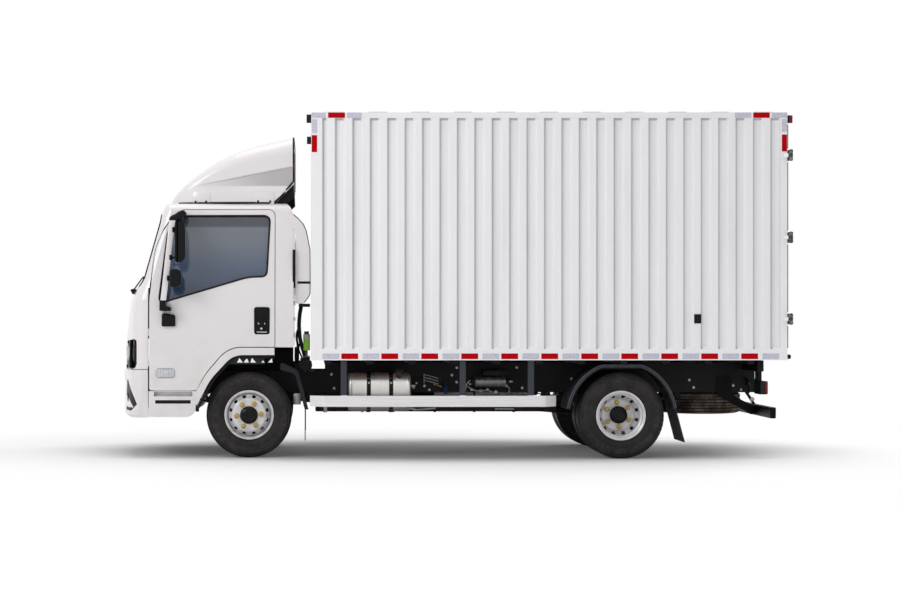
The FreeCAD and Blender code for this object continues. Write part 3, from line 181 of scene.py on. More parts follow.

# %% [markdown]
# ## Floor, backdrop and light
# The studio is a white room. The floor takes the truck's soft shadow, is painted a darker grey near the truck as a
# painted shadow, and fades into the white backdrop. Three large lamps and the world light the truck evenly, a little
# more from the front.

# %% Studio
LAMPS = [("key_lamp", (9, 8, 6.5), (0.5, 0.5, 1.4), (5, 4), 365), ("top_lamp", (0, 0.5, 9), (0, 0, 0), (9, 5), 250),
         ("rear_lamp", (-9, -6, 5), (-1, 0, 1.5), (5, 4), 395)]
for name, place, target, size, power in LAMPS:
    lamp_data = bpy.data.lights.new(name, "AREA")
    lamp_data.shape = "RECTANGLE"
    lamp_data.size, lamp_data.size_y = size
    lamp_data.energy = power
    light = bpy.data.objects.new(name, lamp_data)
    light.location = place
    light.rotation_euler = (Vector(target) - Vector(place)).to_track_quat("-Z", "Y").to_euler()
    light.visible_camera = False
    scene.collection.objects.link(light)


def seen_white(net):
    """A factor that is 1 where the camera, a mirror or a pane looks at the backdrop."""
    camera_ray, mirror_ray, pane_ray = (net.node("LightPath", {}, {}, f"Is {ray} Ray")
                                        for ray in ("Camera", "Glossy", "Transmission"))
    return camera_ray.math("MAXIMUM", mirror_ray).math("MAXIMUM", pane_ray)


SKY_LIGHT = 0.56
FLOOR_LIFT = 0.06
FLOOR_WHITE, FLOOR_SHADE = (0.94, 0.94, 0.945, 1), (0.36, 0.36, 0.365, 1)
world = bpy.data.worlds.new("studio")
world.use_nodes = True
scene.world = world
sky = Net(world.node_tree)
background = world.node_tree.nodes["Background"]
sky.feed(background.inputs["Color"], (1, 1, 1, 1))
sky.feed(background.inputs["Strength"], seen_white(sky) * (1 - SKY_LIGHT) + SKY_LIGHT)

bpy.ops.mesh.primitive_plane_add(size=80, location=(0, 0, -0.001))
floor = bpy.context.object
floor.name = "floor"
ground = Finish("studio_floor", "floor", Roughness=0.9)
across, along, _ = ground.axes()
fade = ground.far(across * 0.62, along).smooth(2.2, 4.2)
# Painted shadow: the floor's own colour is darker near the truck.
shade = ground.far(across * 0.46, along + 0.2).smooth(0.9, 1.9)
ground.set(Base_Color=ground.mix(shade, FLOOR_SHADE, FLOOR_WHITE))
seen = seen_white(ground)
glow = ground.node("Emission", {}, {"Color": (1, 1, 1, 1)})
lift = ground.node("Emission", {}, {"Color": (1, 1, 1, 1), "Strength": seen * FLOOR_LIFT})
skin = Value(ground, ground.tree.nodes["Principled BSDF"].outputs[0])
lit = ground.node("AddShader", {}, {0: skin, 1: lift})
ground.feed(ground.tree.nodes["Material Output"].inputs["Surface"],
            ground.node("MixShader", {}, {0: fade * seen, 1: lit, 2: glow}))
floor.data.materials.append(ground.material)
print("studio ready, sky light", SKY_LIGHT)

# %% [markdown]
# ## Paint and plastic
# The white cab is painted and polished: a white base under a clear coat that is never quite flat. The
# fine noise in the bump is the paint's orange peel, and a thin veil of road dust gathers low down.

# %% Painted finishes
CAB_WHITE, CAB_DUST = "#e7e3e4", "#c4beb8"
BOX_WHITE, BOX_GREY = "#f7f7f9", "#d6d7da"


def dusty(finish, color, dust, low, high, amount):
    """The base colour with road dust that thickens towards the ground."""
    veil = (1 - finish.axes()[2].smooth(low, high)) * finish.noise(7, 5).smooth(0.3, 0.75) * amount
    finish.set(Base_Color=finish.mix(veil, color, dust))
    return veil


def cab_white(name):
    """The paint of the cab, and its veil of dust."""
    finish = Finish(name, "cab_white", Coat_Weight=0.6, Coat_Roughness=0.05)
    veil = dusty(finish, CAB_WHITE, CAB_DUST, 0.3, 1.5, 0.35)
    finish.set(Roughness=veil * 0.5 + 0.32)
    finish.bump(finish.noise(260, 2), 0.03, 0.001)
    return finish, veil


def box_white(name, coat, coat_roughness, roughness, peel, waves=2):
    """The paint of the box, rolled on and a little wavy."""
    finish = Finish(name, "box_white", Coat_Weight=coat, Coat_Roughness=coat_roughness, Roughness=roughness)
    height = finish.noise(90, 2)
    finish.bump(height + finish.noise(2.2, 1) * waves if waves else height, peel, 0.0008)
    return finish


def streaks(finish, amount):
    """Upright streaks that rain leaves."""
    return finish.noise(1, 4, (9, 9, 0.7)).smooth(0.45, 0.8) * amount


cab_paint, _ = cab_white("cab_paint")
fairing_paint, _ = cab_white("fairing_paint")
fx, _, fz = fairing_paint.axes()
# Painted shade: the facet below the crease line on the fairing's side is painted darker, as if shade falls on it.
painted_facet_shade = (fz + fx * 0.1907 - 2.9336).smooth(0.004, -0.004) * fz.smooth(2.468, 2.486)
painted_facet_shade = painted_facet_shade * fx.smooth(2.3, 1.6) * fx.smooth(1.43, 1.46)
fairing_paint.set(Base_Color=fairing_paint.mix(painted_facet_shade * 0.8, CAB_WHITE, "#aca8ac"))

box_paint = box_white("box_paint", 0.4, 0.15, 0.38, 0.12)
rain = streaks(box_paint, 0.16)
box_paint.set(Base_Color=box_paint.mix(rain, BOX_WHITE, BOX_GREY), Roughness=rain + 0.36)

roof_paint = Finish("roof_paint", "box_white")
soot = roof_paint.noise(1.6, 5).smooth(0.35, 0.75)
seam = ((roof_paint.axes()[0] + 0.01) % 0.61) < 0.012
roof_paint.set(Base_Color=roof_paint.mix((soot * 0.6 + seam * 0.4).clamp(), "#d0cfce", "#a8a49e"),
               Roughness=soot * 0.25 + 0.45)
roof_paint.bump(soot - seam, 0.2, 0.002)


def black(name, color, dust, roughness, grain, amount, slot="black_plastic"):
    """A dark finish. Its sheen is kept low, because the room around it is all white."""
    finish = Finish(name, slot, Specular_IOR_Level=0.16)
    finish.set(Roughness=dusty(finish, color, dust, 0.15, 1.4, amount) * 0.4 + roughness)
    finish.bump(finish.noise(grain, 3), 0.25, 0.0006)
    return finish


gloss_black = black("gloss_black", "#0c0d0f", "#2c2b2a", 0.2, 120, 0.2)
frame_paint = black("frame_paint", "#090a0e", "#2c2825", 0.42, 220, 0.5, "chassis_black")
trim_plastic = black("trim_plastic", "#0f1012", "#3c3a38", 0.45, 600, 0.25)
fender_plastic = black("fender_plastic", "#222429", "#4a4744", 0.5, 420, 0.3, "guard_grey")
cast_iron = black("cast_iron", "#1c1c1f", "#4e4238", 0.62, 90, 0.7, "cast")
dash_plastic = black("dash_plastic", "#34363a", "#504e4c", 0.6, 700, 0.1, "dash")
print("painted finishes ready")

# %% [markdown]
# ## Glass and lamps
# Truck glass is tinted and dark against a white studio. A thin coloured film that is part see-through
# gives a grey blue that lightens upward as a painted sky reflection, darker in a painted shade band along its top
# edge.

# %% Glass, lenses and bottle
glass = Finish("tinted_glass", "glass", Roughness=0.03, Coat_Weight=1, Coat_Roughness=0.02)
height = glass.axes()[2]
# Painted light: a band darkens the top edge as painted shade, and the glass's own blue tint lightens upward as a
# painted sky reflection.
painted_shade_band = height.smooth(2.085, 2.11)
tint_and_painted_sky_reflection = glass.ramp(height.smooth(1.42, 2.08), (0, "#2c3e5c"), (0.45, "#50607a"), (1, "#767c88"))
glass.set(Base_Color=glass.mix(painted_shade_band, tint_and_painted_sky_reflection, "#3e404e"), Alpha=painted_shade_band * 0.16 + 0.76)
glass.bump(glass.noise(3, 1), 0.02, 0.002)

clear_lens = Finish("clear_lens", "lamp", Roughness=0.06, Coat_Weight=1, Coat_Roughness=0.03)
flutes = clear_lens.node("TexWave", {}, {"Vector": clear_lens.place, "Scale": 22},
                         "Fac") * 0.7 + clear_lens.cells(90) * 0.3
clear_lens.set(Base_Color=clear_lens.ramp(flutes, (0, "#787c82"), (0.6, "#d6d8dc")))
clear_lens.bump(flutes, 0.5, 0.002)

red_lens = Finish("red_lens", "tail_lamp", Roughness=0.08, Coat_Weight=0.4, Coat_Roughness=0.03,
                  Specular_IOR_Level=0.3)
prisms = red_lens.cells(160)
red_lens.set(Base_Color=red_lens.ramp(prisms, (0, "#340008"), (0.5, "#860414")))
red_lens.bump(prisms, 0.4, 0.001)

bottle_green = Finish("bottle_green", "bottle", Roughness=0.25, Coat_Weight=0.3)
level = bottle_green.axes()[2]
fluid = bottle_green.mix(level > 1.078, "#8cc422", "#a8aca8")
dark_ends = ((level > 1.1195) + (level < 0.9715)).clamp()
bottle_green.set(Base_Color=bottle_green.mix(dark_ends, fluid, "#141416"))
bottle_green.bump(bottle_green.noise(60, 2), 0.1, 0.001)
print("glass and lenses ready")

# %% [markdown]
# ## Metals and rubber
# Bare metal is told by its small scratches: brushed lines run round the tank, zinc has a spangle and
# cast iron is rough. Tyre rubber is a dusty brown grey with fine rings moulded in its side, drawn lighter as painted
# highlights.

# %% Metals
def metal(name, color, roughness, grain, stretch, amount, strength=0.1):
    """Metal whose grain is noise stretched along one axis."""
    finish = Finish(name, "steel", Metallic=0.9)
    lines = finish.noise(grain, 3, stretch)
    dark = [c * 0.72 for c in linear(color)[:3]] + [1]
    finish.set(Roughness=lines * amount + (roughness - amount / 2))
    finish.set(Base_Color=finish.mix(lines.smooth(0.3, 0.7), dark, color))
    finish.bump(lines, strength, 0.0006)
    return finish


zinc = metal("zinc_plate", "#b2b4b7", 0.42, 60, None, 0.3)
gold_zinc = metal("gold_zinc", "#b8a060", 0.4, 70, None, 0.25)
chrome = metal("bright_rod", "#cdced0", 0.25, 40, (1, 1, 0.2), 0.15)
guard_metal = metal("guard_metal", "#dadbde", 0.45, 18, (0.3, 5, 12), 0.2, 0.06)

print("metals ready")

# %% Rubber
def rubber(name, color, dust, amount):
    finish = Finish(name, "black_plastic", Specular_IOR_Level=0.25)
    patches = finish.noise(9, 5).smooth(0.35, 0.75) * amount
    finish.set(Base_Color=finish.mix(patches, color, dust), Roughness=patches * 0.2 + 0.68)
    finish.bump(finish.noise(340, 2), 0.2, 0.0006)
    return finish


tyre_rubber = rubber("tyre_rubber", "#1e1d1f", "#423d3a", 0.45)
seal_rubber = rubber("seal_rubber", "#0d0d0f", "#282726", 0.3)
print("metals and rubber ready")

# %% [markdown]
# ## Cloth, wood and tape
# The load floor is varnished plywood in boards. The seats are woven cloth. The conspicuity tape on the
# box is made of tiny prisms, which show as a fine honeycomb in both the red and the white parts.

# %% Floor boards, cloth and tape
boards = Finish("floor_boards", "wood")
grain = boards.noise(6, 5, (0.6, 14, 14))
joint = (boards.axes()[1] % 0.2) < 0.006
wood = boards.ramp(grain, (0.3, "#583c28"), (0.7, "#926e4c"))
boards.set(Base_Color=boards.mix(joint, wood, "#221a14"), Roughness=grain * 0.3 + 0.4)
boards.bump(grain - joint * 1.5, 0.3, 0.001)


def woven(name, dark, light, pitch):
    """Cloth: two crossed sets of threads."""
    finish = Finish(name, "seat", Roughness=0.9, Sheen_Weight=0.3)
    x, y, z = finish.axes()
    threads = ((((x + z) % pitch) < pitch * 0.5) - ((y % pitch) < pitch * 0.5)).math("ABSOLUTE")
    tone = threads * 0.5 + finish.noise(40) * 0.5
    finish.set(Base_Color=finish.ramp(tone, (0.15, dark), (0.8, light)))
    finish.bump(threads, 0.3, 0.0008)
    return finish


seat_cloth = woven("seat_cloth", "#3a3c42", "#686b72", 0.004)
seat_side = woven("seat_side_cloth", "#1e1f22", "#34363a", 0.003)


def tape(name, slot, dark, light):
    """Reflective tape: a honeycomb of prisms under a clear film."""
    finish = Finish(name, slot, Roughness=0.35, Specular_IOR_Level=0.05)
    comb = finish.cells(120, "DISTANCE_TO_EDGE").smooth(0.02, 0.12)
    finish.set(Base_Color=finish.mix(comb, dark, light))
    finish.bump(comb, 0.3, 0.0006)
    return finish


red_tape = tape("red_tape", "tail_lamp", "#780004", "#d60412")
white_tape = tape("white_tape", "box_white", "#b0aec4", "#dedcea")
print("cloth, wood and tape ready")

# %% [markdown]
# ## Dressing the CAD nodes
# Each CAD body keeps its shape and takes the finish that the real one has.

# %% Finish of each node
def pair(*names):
    """Left and right node names for each name that ends before the side."""
    return [f"{name}_{side}" for name in names for side in ("left", "right")]


guard_finish = Finish("guard_finish", "guard_grey")
drawn_lines = guard_finish.noise(18, 3, (0.3, 5, 12))
post = guard_finish.axes()[2] > 0.5745
rail_color = guard_finish.mix(drawn_lines.smooth(0.3, 0.8), "#e8e5e7", "#f8f6f8")
guard_finish.set(Base_Color=guard_finish.mix(post, rail_color, "#242932"), Roughness=drawn_lines * 0.2 + 0.36)
guard_finish.bump(drawn_lines, 0.06, 0.0005)

tank_finish = Finish("tank_finish", "aluminium")
rings = tank_finish.noise(30, 3, (6, 0.25, 0.25))
x, y, z = tank_finish.axes()
cap = (z > 0.7735) + (y + z > 1.622) * (x < 0.54) * (x > 0.42)
# Painted light: the skin is painted lighter towards the top of the tank, mixed with its brushed rings.
brushing_and_painted_top_light = rings.smooth(0.2, 0.8) * 0.3 + z.smooth(0.5, 0.74) * 0.7
skin = tank_finish.mix(brushing_and_painted_top_light, "#b0acaa", "#ece9e6")
tank_finish.set(Base_Color=tank_finish.mix(cap, skin, "#121315"), Metallic=0.85 - cap * 0.85,
                Roughness=rings * 0.16 + cap * 0.2 + 0.26)
tank_finish.bump(rings, 0.02, 0.0003)

lamp_finish = Finish("lamp_finish", "black_plastic", Specular_IOR_Level=0.25)
x, _, z = lamp_finish.axes()
tail_lens = (x < -2.812) * (x > -2.9) * (z < 0.705)
rear_marker = x < -3.012
marker_lens = rear_marker + (x > 1.309)
prisms = lamp_finish.cells(160)
red = lamp_finish.ramp(prisms, (0, "#340008"), (0.5, "#860414"))
lamp_finish.set(Base_Color=lamp_finish.mix(tail_lens + rear_marker, "#0e0f11", red),
                Roughness=0.42 - (tail_lens + marker_lens) * 0.3)
lamp_finish.bump(prisms * (tail_lens + marker_lens), 0.4, 0.001)

NODE_FINISHES = [(cab_paint, ["cab_shell", "front_panel", "step_panels", "intake_duct"] + pair("door")),
                 (fairing_paint, ["roof_fairing"]), (boards, ["box_floor"]),
                 (box_paint, ["box_wall_front"] + pair("box_wall")), (roof_paint, ["box_roof"]),
                 (frame_paint,
                  ["frame", "crossmembers", "subframe", "floor_bearers", "spare_carrier", "tank_brackets",
                   "drive_shaft", "leaf_springs", "front_axle", "rear_axle", "radiator"] + pair("knuckle")),
                 (trim_plastic, ["cab_floor"] + pair("mirrors")), (fender_plastic, ["mudguards"]),
                 (cast_iron, ["engine", "exhaust", "tie_rod"]), (glass, pair("door_glass")),
                 (lamp_finish, ["rear_lamps"]), (tyre_rubber, ["spare_tyre"] + pair("tyre_front", "tyres_rear")),
                 (chrome, pair("lock_gear")), (tank_finish, ["fuel_tank"]), (guard_finish, ["side_guards"]),
                 (seat_cloth, ["seats"]), (dash_plastic, ["dashboard", "steering_wheel"]),
                 (bottle_green, ["coolant_bottle"]), ]


def dress(node, finish):
    """Puts one finish on all of a node's faces."""
    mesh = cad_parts[node].data
    mesh.materials.clear()
    mesh.materials.append(finish.material)


for finish, nodes in NODE_FINISHES:
    for node in nodes:
        dress(node, finish)
print("nodes dressed")

# %% [markdown]
# ## Modelling tools
# Small pieces start as a box, a drum, a drawn line or a curve, and are shaped by the operators that one
# would use by hand. Every helper starts with nothing selected, because an operator works on all that is.

# %% Starting forms
def alone(piece):
    """Selects one piece and makes it active."""
    bpy.ops.object.select_all(action="DESELECT")
    piece.select_set(True)
    bpy.context.view_layer.objects.active = piece


def edited(piece, *steps):
    """Opens a piece in edit mode with all of it selected and runs the steps."""
    alone(piece)
    bpy.ops.object.mode_set(mode="EDIT")
    bpy.ops.mesh.select_all(action="SELECT")
    for step in steps:
        step()
    bpy.ops.object.mode_set(mode="OBJECT")
    return piece


def applied(piece):
    alone(piece)
    bpy.ops.object.transform_apply(location=True, rotation=True, scale=True)
    return piece


def modified(piece, kind, **settings):
    """Adds a modifier with its settings and applies it."""
    modifier = piece.modifiers.new(kind, kind)
    for name, value in settings.items():
        setattr(modifier, name, value)
    alone(piece)
    bpy.ops.object.modifier_apply(modifier=kind)
    return piece


def rounded(piece, width, segments=2, angle=40):
    """Rounds the sharp edges of a piece. A width of 0 leaves them sharp."""
    if not width:
        return piece
    return modified(piece, "BEVEL", width=width, segments=segments, angle_limit=math.radians(angle))


def block(low, high, width=0, segments=2):
    """A box between two corners, its edges rounded."""
    bpy.ops.object.select_all(action="DESELECT")
    bpy.ops.mesh.primitive_cube_add(size=1, location=[(a + b) / 2 for a, b in zip(low, high)])
    bpy.context.object.scale = [b - a for a, b in zip(low, high)]
    return rounded(applied(bpy.context.object), width, segments)


def drum(start, end, radius, sides=20, width=0, tip=None):
    """A round bar between two points, or a taper where a tip radius is given."""
    way = Vector(end) - Vector(start)
    bpy.ops.object.select_all(action="DESELECT")
    bpy.ops.mesh.primitive_cone_add(
        vertices=sides, radius1=radius, radius2=radius if tip is None else tip, depth=way.length,
        location=(Vector(start) + Vector(end)) / 2, rotation=way.to_track_quat("Z", "Y").to_euler())
    return rounded(applied(bpy.context.object), width, 2, 50)


def drawn(points):
    """A line drawn point by point, each one extruded from the last."""
    bpy.ops.object.select_all(action="DESELECT")
    bpy.ops.mesh.primitive_plane_add(size=0.01)
    wire = bpy.context.object
    bpy.ops.object.mode_set(mode="EDIT")
    bpy.ops.mesh.merge(type="CENTER")
    bpy.ops.transform.translate(value=points[0])
    for before, after in zip(points, points[1:]):
        step = Vector(after) - Vector(before)
        bpy.ops.mesh.extrude_vertices_move(TRANSFORM_OT_translate={"value": step})
    bpy.ops.object.mode_set(mode="OBJECT")
    return wire


def cleaned():
    bpy.ops.mesh.select_all(action="SELECT")
    bpy.ops.mesh.remove_doubles(threshold=0.00005)
    bpy.ops.mesh.normals_make_consistent(inside=False)


def pushed(*way):
    """A step that pushes the selected faces out by a vector."""
    return lambda: bpy.ops.mesh.extrude_region_move(TRANSFORM_OT_translate={"value": way})


def plate(points, depth, width=0):
    """A flat outline filled with a face and pushed out by a vector."""
    return rounded(edited(drawn(points), bpy.ops.mesh.edge_face_add, pushed(*depth), cleaned), width)


def side_plate(corners, y, depth, width=0):
    """A plate seen from the side: (x, z) corners at a Y, as thick as the depth."""
    return plate([(x, y, z) for x, z in corners], (0, depth, 0), width)


def lathed(profile, centre, steps=48):
    """A (radius, offset along Y) line spun round the Y axis through a centre. A closed line gives a ring."""
    x, y, z = centre
    return edited(
        drawn([(x + r, y + v, z) for r, v in profile]),
        lambda: bpy.ops.mesh.spin(steps=steps, angle=2 * math.pi, center=centre, axis=(0, 1, 0)), cleaned)


def swept(kind, points, radius, sides, **settings):
    """A round bar along a curve of a kind, made a mesh."""
    data = bpy.data.curves.new("pipe", "CURVE")
    data.dimensions = "3D"
    data.bevel_depth, data.bevel_resolution = radius, sides
    data.use_fill_caps = True
    data.resolution_u = 5
    line = data.splines.new(kind)
    line.points.add(len(points) - 1)
    for point, place in zip(line.points, points):
        point.co = (*place, 1)
    for name, value in settings.items():
        setattr(line, name, value)
    pipe = bpy.data.objects.new("pipe", data)
    scene.collection.objects.link(pipe)
    alone(pipe)
    bpy.ops.object.convert(target="MESH")
    return bpy.context.object


def tube(points, radius, sides=3):
    """A pipe along a smooth line."""
    return swept("NURBS", points, radius, sides, order_u=3, use_endpoint_u=True)


def bead(points, radius, closed=True, sides=2):
    """A round bead along exact points."""
    return swept("POLY", points, radius, sides, use_cyclic_u=closed)


def smooth_outline(corners, steps=5):
    """Points round a closed outline of (u, v, radius) corners."""
    points = []
    for i, (u, v, radius) in enumerate(corners):
        here = Vector((u, v))
        into = (here - Vector(corners[i - 1][:2])).normalized()
        out = (Vector(corners[(i + 1) % len(corners)][:2]) - here).normalized()
        turn = into.angle(out)
        if radius == 0 or turn < 1e-3:
            points.append(here)
            continue
        reach = radius * math.tan(turn / 2)
        start, end = here - into * reach, here + out * reach
        for t in (k / steps for k in range(steps + 1)):
            points.append(start.lerp(here, t).lerp(here.lerp(end, t), t))
    return points


print("starting forms ready")

# %% Copying, joining and handing over
def moved(piece, matrix):
    """Moves a piece's mesh and leaves its object at the origin."""
    piece.data.transform(matrix)
    if matrix.determinant() < 0:
        piece.data.flip_normals()
    return piece


def copied(piece, matrix):
    twin = piece.copy()
    twin.data = piece.data.copy()
    scene.collection.objects.link(twin)
    return moved(twin, matrix)


def shift(x=0, y=0, z=0):
    return Matrix.Translation((x, y, z))


def turned(angle, axis):
    return Matrix.Rotation(angle, 4, axis)


def spun(angle, centre, axis):
    """A turn round an axis through a centre."""
    return shift(*centre) @ turned(angle, axis) @ shift(*[-c for c in centre])


ACROSS = Matrix.Scale(-1, 4, (0, 1, 0))


def joined(pieces):
    """One piece made of several. A single piece stays as it is."""
    pieces = pieces if isinstance(pieces, list) else [pieces]
    bpy.ops.object.select_all(action="DESELECT")
    for piece in pieces:
        piece.select_set(True)
    bpy.context.view_layer.objects.active = pieces[0]
    if len(pieces) > 1:
        bpy.ops.object.join()
    return bpy.context.object


def done(pieces, name, body, finish, angle=35, node=None):
    """Joins, names, paints and shades a piece, and makes it ride on a body. It may replace a node."""
    piece = applied(joined(pieces))
    piece.name = piece.data.name = name
    piece.data.materials.clear()
    piece.data.materials.append(finish.material)
    bpy.ops.object.shade_smooth_by_angle(angle=math.radians(angle))
    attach(piece, body)
    if node:
        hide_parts(node)
    print(name, len(piece.data.polygons), "faces")
    return piece


def both_sides(pieces, name, body, finish, angle=35, node=""):
    """Hands over a left piece and its mirror image. A body or node that ends in left has a right one."""
    left = joined(pieces)
    for side, half in {"left": left, "right": copied(left, ACROSS)}.items():
        done(half, f"{name}_{side}", body.replace("left", side), finish, angle, node.replace("left", side))


print("modelling tools ready")

# %% [markdown]
# ## Tyres
# A truck tyre is a smooth carcass with raised blocks of rubber in rows. The carcass is one line spun
# round the axle, with thin moulded rings in its side. One slice of tread is modelled and copied round.

# %% Carcass and tread
TYRE_RADIUS = 0.388
TREAD_DEPTH = 0.009
SLICES = 56
SIDE_LINE = [
    (0.2093, 0.066), (0.226, 0.0708), (0.231, 0.0818), (0.235, 0.0846), (0.238, 0.0862), (0.242, 0.088),
    (0.27, 0.0955), (0.273, 0.0975), (0.276, 0.0962), (0.3, 0.0992), (0.32, 0.0992), (0.323, 0.1),
    (0.326, 0.0984), (0.345, 0.096), (0.348, 0.0972), (0.351, 0.0955), (0.362, 0.0925), (0.372, 0.088),
    (TYRE_RADIUS - TREAD_DEPTH, 0.079)]


def carcass():
    low, high = SIDE_LINE, [(r, -v) for r, v in reversed(SIDE_LINE)]
    ring = low + [(TYRE_RADIUS - TREAD_DEPTH, v) for v in (0.04, 0, -0.04)] + high
    return lathed(ring + ring[:1], (0, 0, 0), 72)


def tread_slice():
    """Two staggered centre blocks, two shoulder blocks and two side ribs, at the top of the wheel."""
    step = 2 * math.pi * TYRE_RADIUS / SLICES
    base, top = TYRE_RADIUS - TREAD_DEPTH - 0.003, TYRE_RADIUS - 0.0006
    rows = [(0.0475, 0.0795, 0), (0.0035, 0.0405, 0.5), (-0.0405, -0.0035, 0), (-0.0795, -0.0475, 0.5)]
    blocks = []
    for low, high, stagger in rows:
        lump = block((-step * 0.465, low, base), (step * 0.465, high, top))
        blocks.append(moved(lump, turned(2 * math.pi * stagger / SLICES, "Y")))
    for side in (-1, 1):
        rib = block((-0.006, 0.0845, 0.36), (0.006, 0.0905, 0.3745))
        blocks.append(moved(rib, Matrix.Scale(side, 4, (0, 1, 0))))
    return joined(blocks)


def tyre():
    """One tyre at the origin, its axle along Y."""
    first = tread_slice()
    slices = [copied(first, turned(2 * math.pi * i / SLICES, "Y")) for i in range(1, SLICES)]
    return joined([carcass(), first] + slices)


FRONT_WHEEL = (1.844, 0.752, 0.388)
REAR_WHEEL = (-1.516, 0.885, 0.388)
TWIN_SPACING = 0.23
SPARE = (-2.412, 0, 0.47)


def tyre_finish(name, centre):
    """Tyre rubber with the moulded bands of its side, drawn by the distance from the axle. The rings and ticks are
    drawn lighter as painted highlights on their edges.
    """
    finish = Finish(name, "tyre", Specular_IOR_Level=0.18)
    x, _, z = finish.axes()
    x, z = x - centre[0], z - centre[2]
    radius, turn = finish.far(x, 0, z), z.math("ARCTAN2", x)
    # Painted highlight: the moulded rings and ticks are drawn lighter than the rubber round them.
    rings = (radius * 900).math("SINE").smooth(0.3, 0.95) * radius.smooth(0.228, 0.24) * radius.smooth(0.352, 0.346)
    ticks = (turn * 180).math("SINE").smooth(-0.2, 0.4) * radius.smooth(0.352, 0.356) * radius.smooth(0.374, 0.37)
    # A lighter band over the raised part of the side, in blotches of noise.
    lighter_band = radius.smooth(0.29, 0.32) * radius.smooth(0.35, 0.34) * finish.noise(30, 4).smooth(0.4, 0.7)
    dust = finish.noise(9, 5).smooth(0.35, 0.75) * 0.4
    dark = finish.mix((dust * 0.7 + lighter_band * 0.3).clamp(), "#111012", "#4c4744")
    finish.set(Base_Color=finish.mix((rings * 0.4 + ticks * 0.22).clamp(), dark, "#5c5856"))
    finish.set(Roughness=dust * 0.3 + 0.52)
    finish.bump(rings + ticks * 0.6 + finish.noise(300, 2) * 0.2, 0.4, 0.0012)
    return finish


front_tyre_finish = tyre_finish("tyre_front_finish", FRONT_WHEEL)
rear_tyre_finish = tyre_finish("tyre_rear_finish", REAR_WHEEL)
new_tyre = tyre()
twins = [copied(new_tyre, shift(REAR_WHEEL[0], REAR_WHEEL[1] - inward, REAR_WHEEL[2]))
         for inward in (0, TWIN_SPACING)]
both_sides(twins, "tread_rear", "wheels_rear_left", rear_tyre_finish, node="tyres_rear_left")
both_sides(copied(new_tyre, shift(*FRONT_WHEEL)), "tread_front", "wheel_front_left", front_tyre_finish,
           node="tyre_front_left")
bpy.data.objects.remove(new_tyre)
print("tyres ready")

# %% [markdown]
# ## Rims, nuts and caps
# Six plated nuts hold each disc and a black domed cap covers each hub. Through the hand holes one sees
# the dark brake drum, so a mask by radius darkens the drum.

# %% Drum mask
def rim_finish(name, centre_x, drum_face):
    """Rim paint that turns to cast iron inside the drum's radius and inboard of its face."""
    finish = Finish(name, "steel", Metallic=0.2)
    x, y, z = finish.axes()
    radius = finish.far(x - centre_x, 0, z - 0.388)
    drum_mask = (radius < 0.1535) * (y.math("ABSOLUTE") < drum_face)
    dust = finish.noise(14, 4).smooth(0.4, 0.8) * 0.4
    paint = finish.mix(dust, "#d8d7da", "#968f86")
    iron = finish.mix(finish.noise(30, 4), "#282626", "#544a42")
    finish.set(Base_Color=finish.mix(drum_mask, paint, iron))
    finish.set(Roughness=(dust + drum_mask) * 0.3 + 0.34)
    finish.bump(finish.noise(150, 2), 0.08, 0.0006)
    return finish


front_rim_finish = rim_finish("rim_front_finish", FRONT_WHEEL[0], 0.8515)
rear_rim_finish = rim_finish("rim_rear_finish", REAR_WHEEL[0], 0.6515)
for side in ("left", "right"):
    dress(f"rim_front_{side}", front_rim_finish)
    dress(f"rims_rear_{side}", rear_rim_finish)
print("rims dressed")

# %% Nuts, caps and valves
NUT_CIRCLE = 0.2225 / 2


def nut():
    """A hexagon nut on its washer with the end of its stud, standing out along Y from the origin."""
    washer = drum((0, 0, 0), (0, 0.005, 0), 0.024, 20, 0.0012)
    hexagon = drum((0, 0.004, 0), (0, 0.026, 0), 0.0195, 6, 0.002)
    stud = drum((0, 0.02, 0), (0, 0.036, 0), 0.0095, 12, 0.0015)
    return joined([washer, hexagon, stud])


def nut_ring(centre, face, start):
    """Six nuts on their circle round a wheel's centre, the first at a start angle, on the disc's face."""
    first = moved(nut(),
                  shift(centre[0] - NUT_CIRCLE * math.cos(start), face, centre[2] + NUT_CIRCLE * math.sin(start)))
    turns = [copied(first, spun(math.pi / 3 * i, (centre[0], 0, centre[2]), "Y")) for i in range(1, 6)]
    return joined([first] + turns)


both_sides(nut_ring(FRONT_WHEEL, FRONT_WHEEL[1] + 0.115, math.radians(4)), "nuts_front", "wheel_front_left",
           gold_zinc)
both_sides(nut_ring(REAR_WHEEL, REAR_WHEEL[1] - 0.107, math.radians(35)), "nuts_rear", "wheels_rear_left", gold_zinc)


def cap_line(base):
    """Profile of a domed cap with two moulded rings, standing on a hub whose face is at base."""
    return [(0, base + 0.006), (0.02, base + 0.0058), (0.023, base + 0.003), (0.0262, base + 0.0052),
            (0.046, base + 0.004), (0.049, base + 0.0012), (0.0525, base + 0.0032), (0.062, base - 0.001),
            (0.074, base - 0.0085), (0.08, base - 0.016), (0.0812, base - 0.0285), (0.0785, base - 0.0285),
            (0.0785, base - 0.0165), (0.052, base - 0.0004), (0, base - 0.0004)]


both_sides(lathed(cap_line(0.1428), FRONT_WHEEL, 40), "hub_cap_front", "wheel_front_left", gloss_black)
hub_middle = (REAR_WHEEL[0], REAR_WHEEL[1] - TWIN_SPACING / 2, REAR_WHEEL[2])
both_sides(lathed([(r * 0.985, v) for r, v in cap_line(0.0848)], hub_middle, 40), "hub_cap_rear", "wheels_rear_left",
           gloss_black)


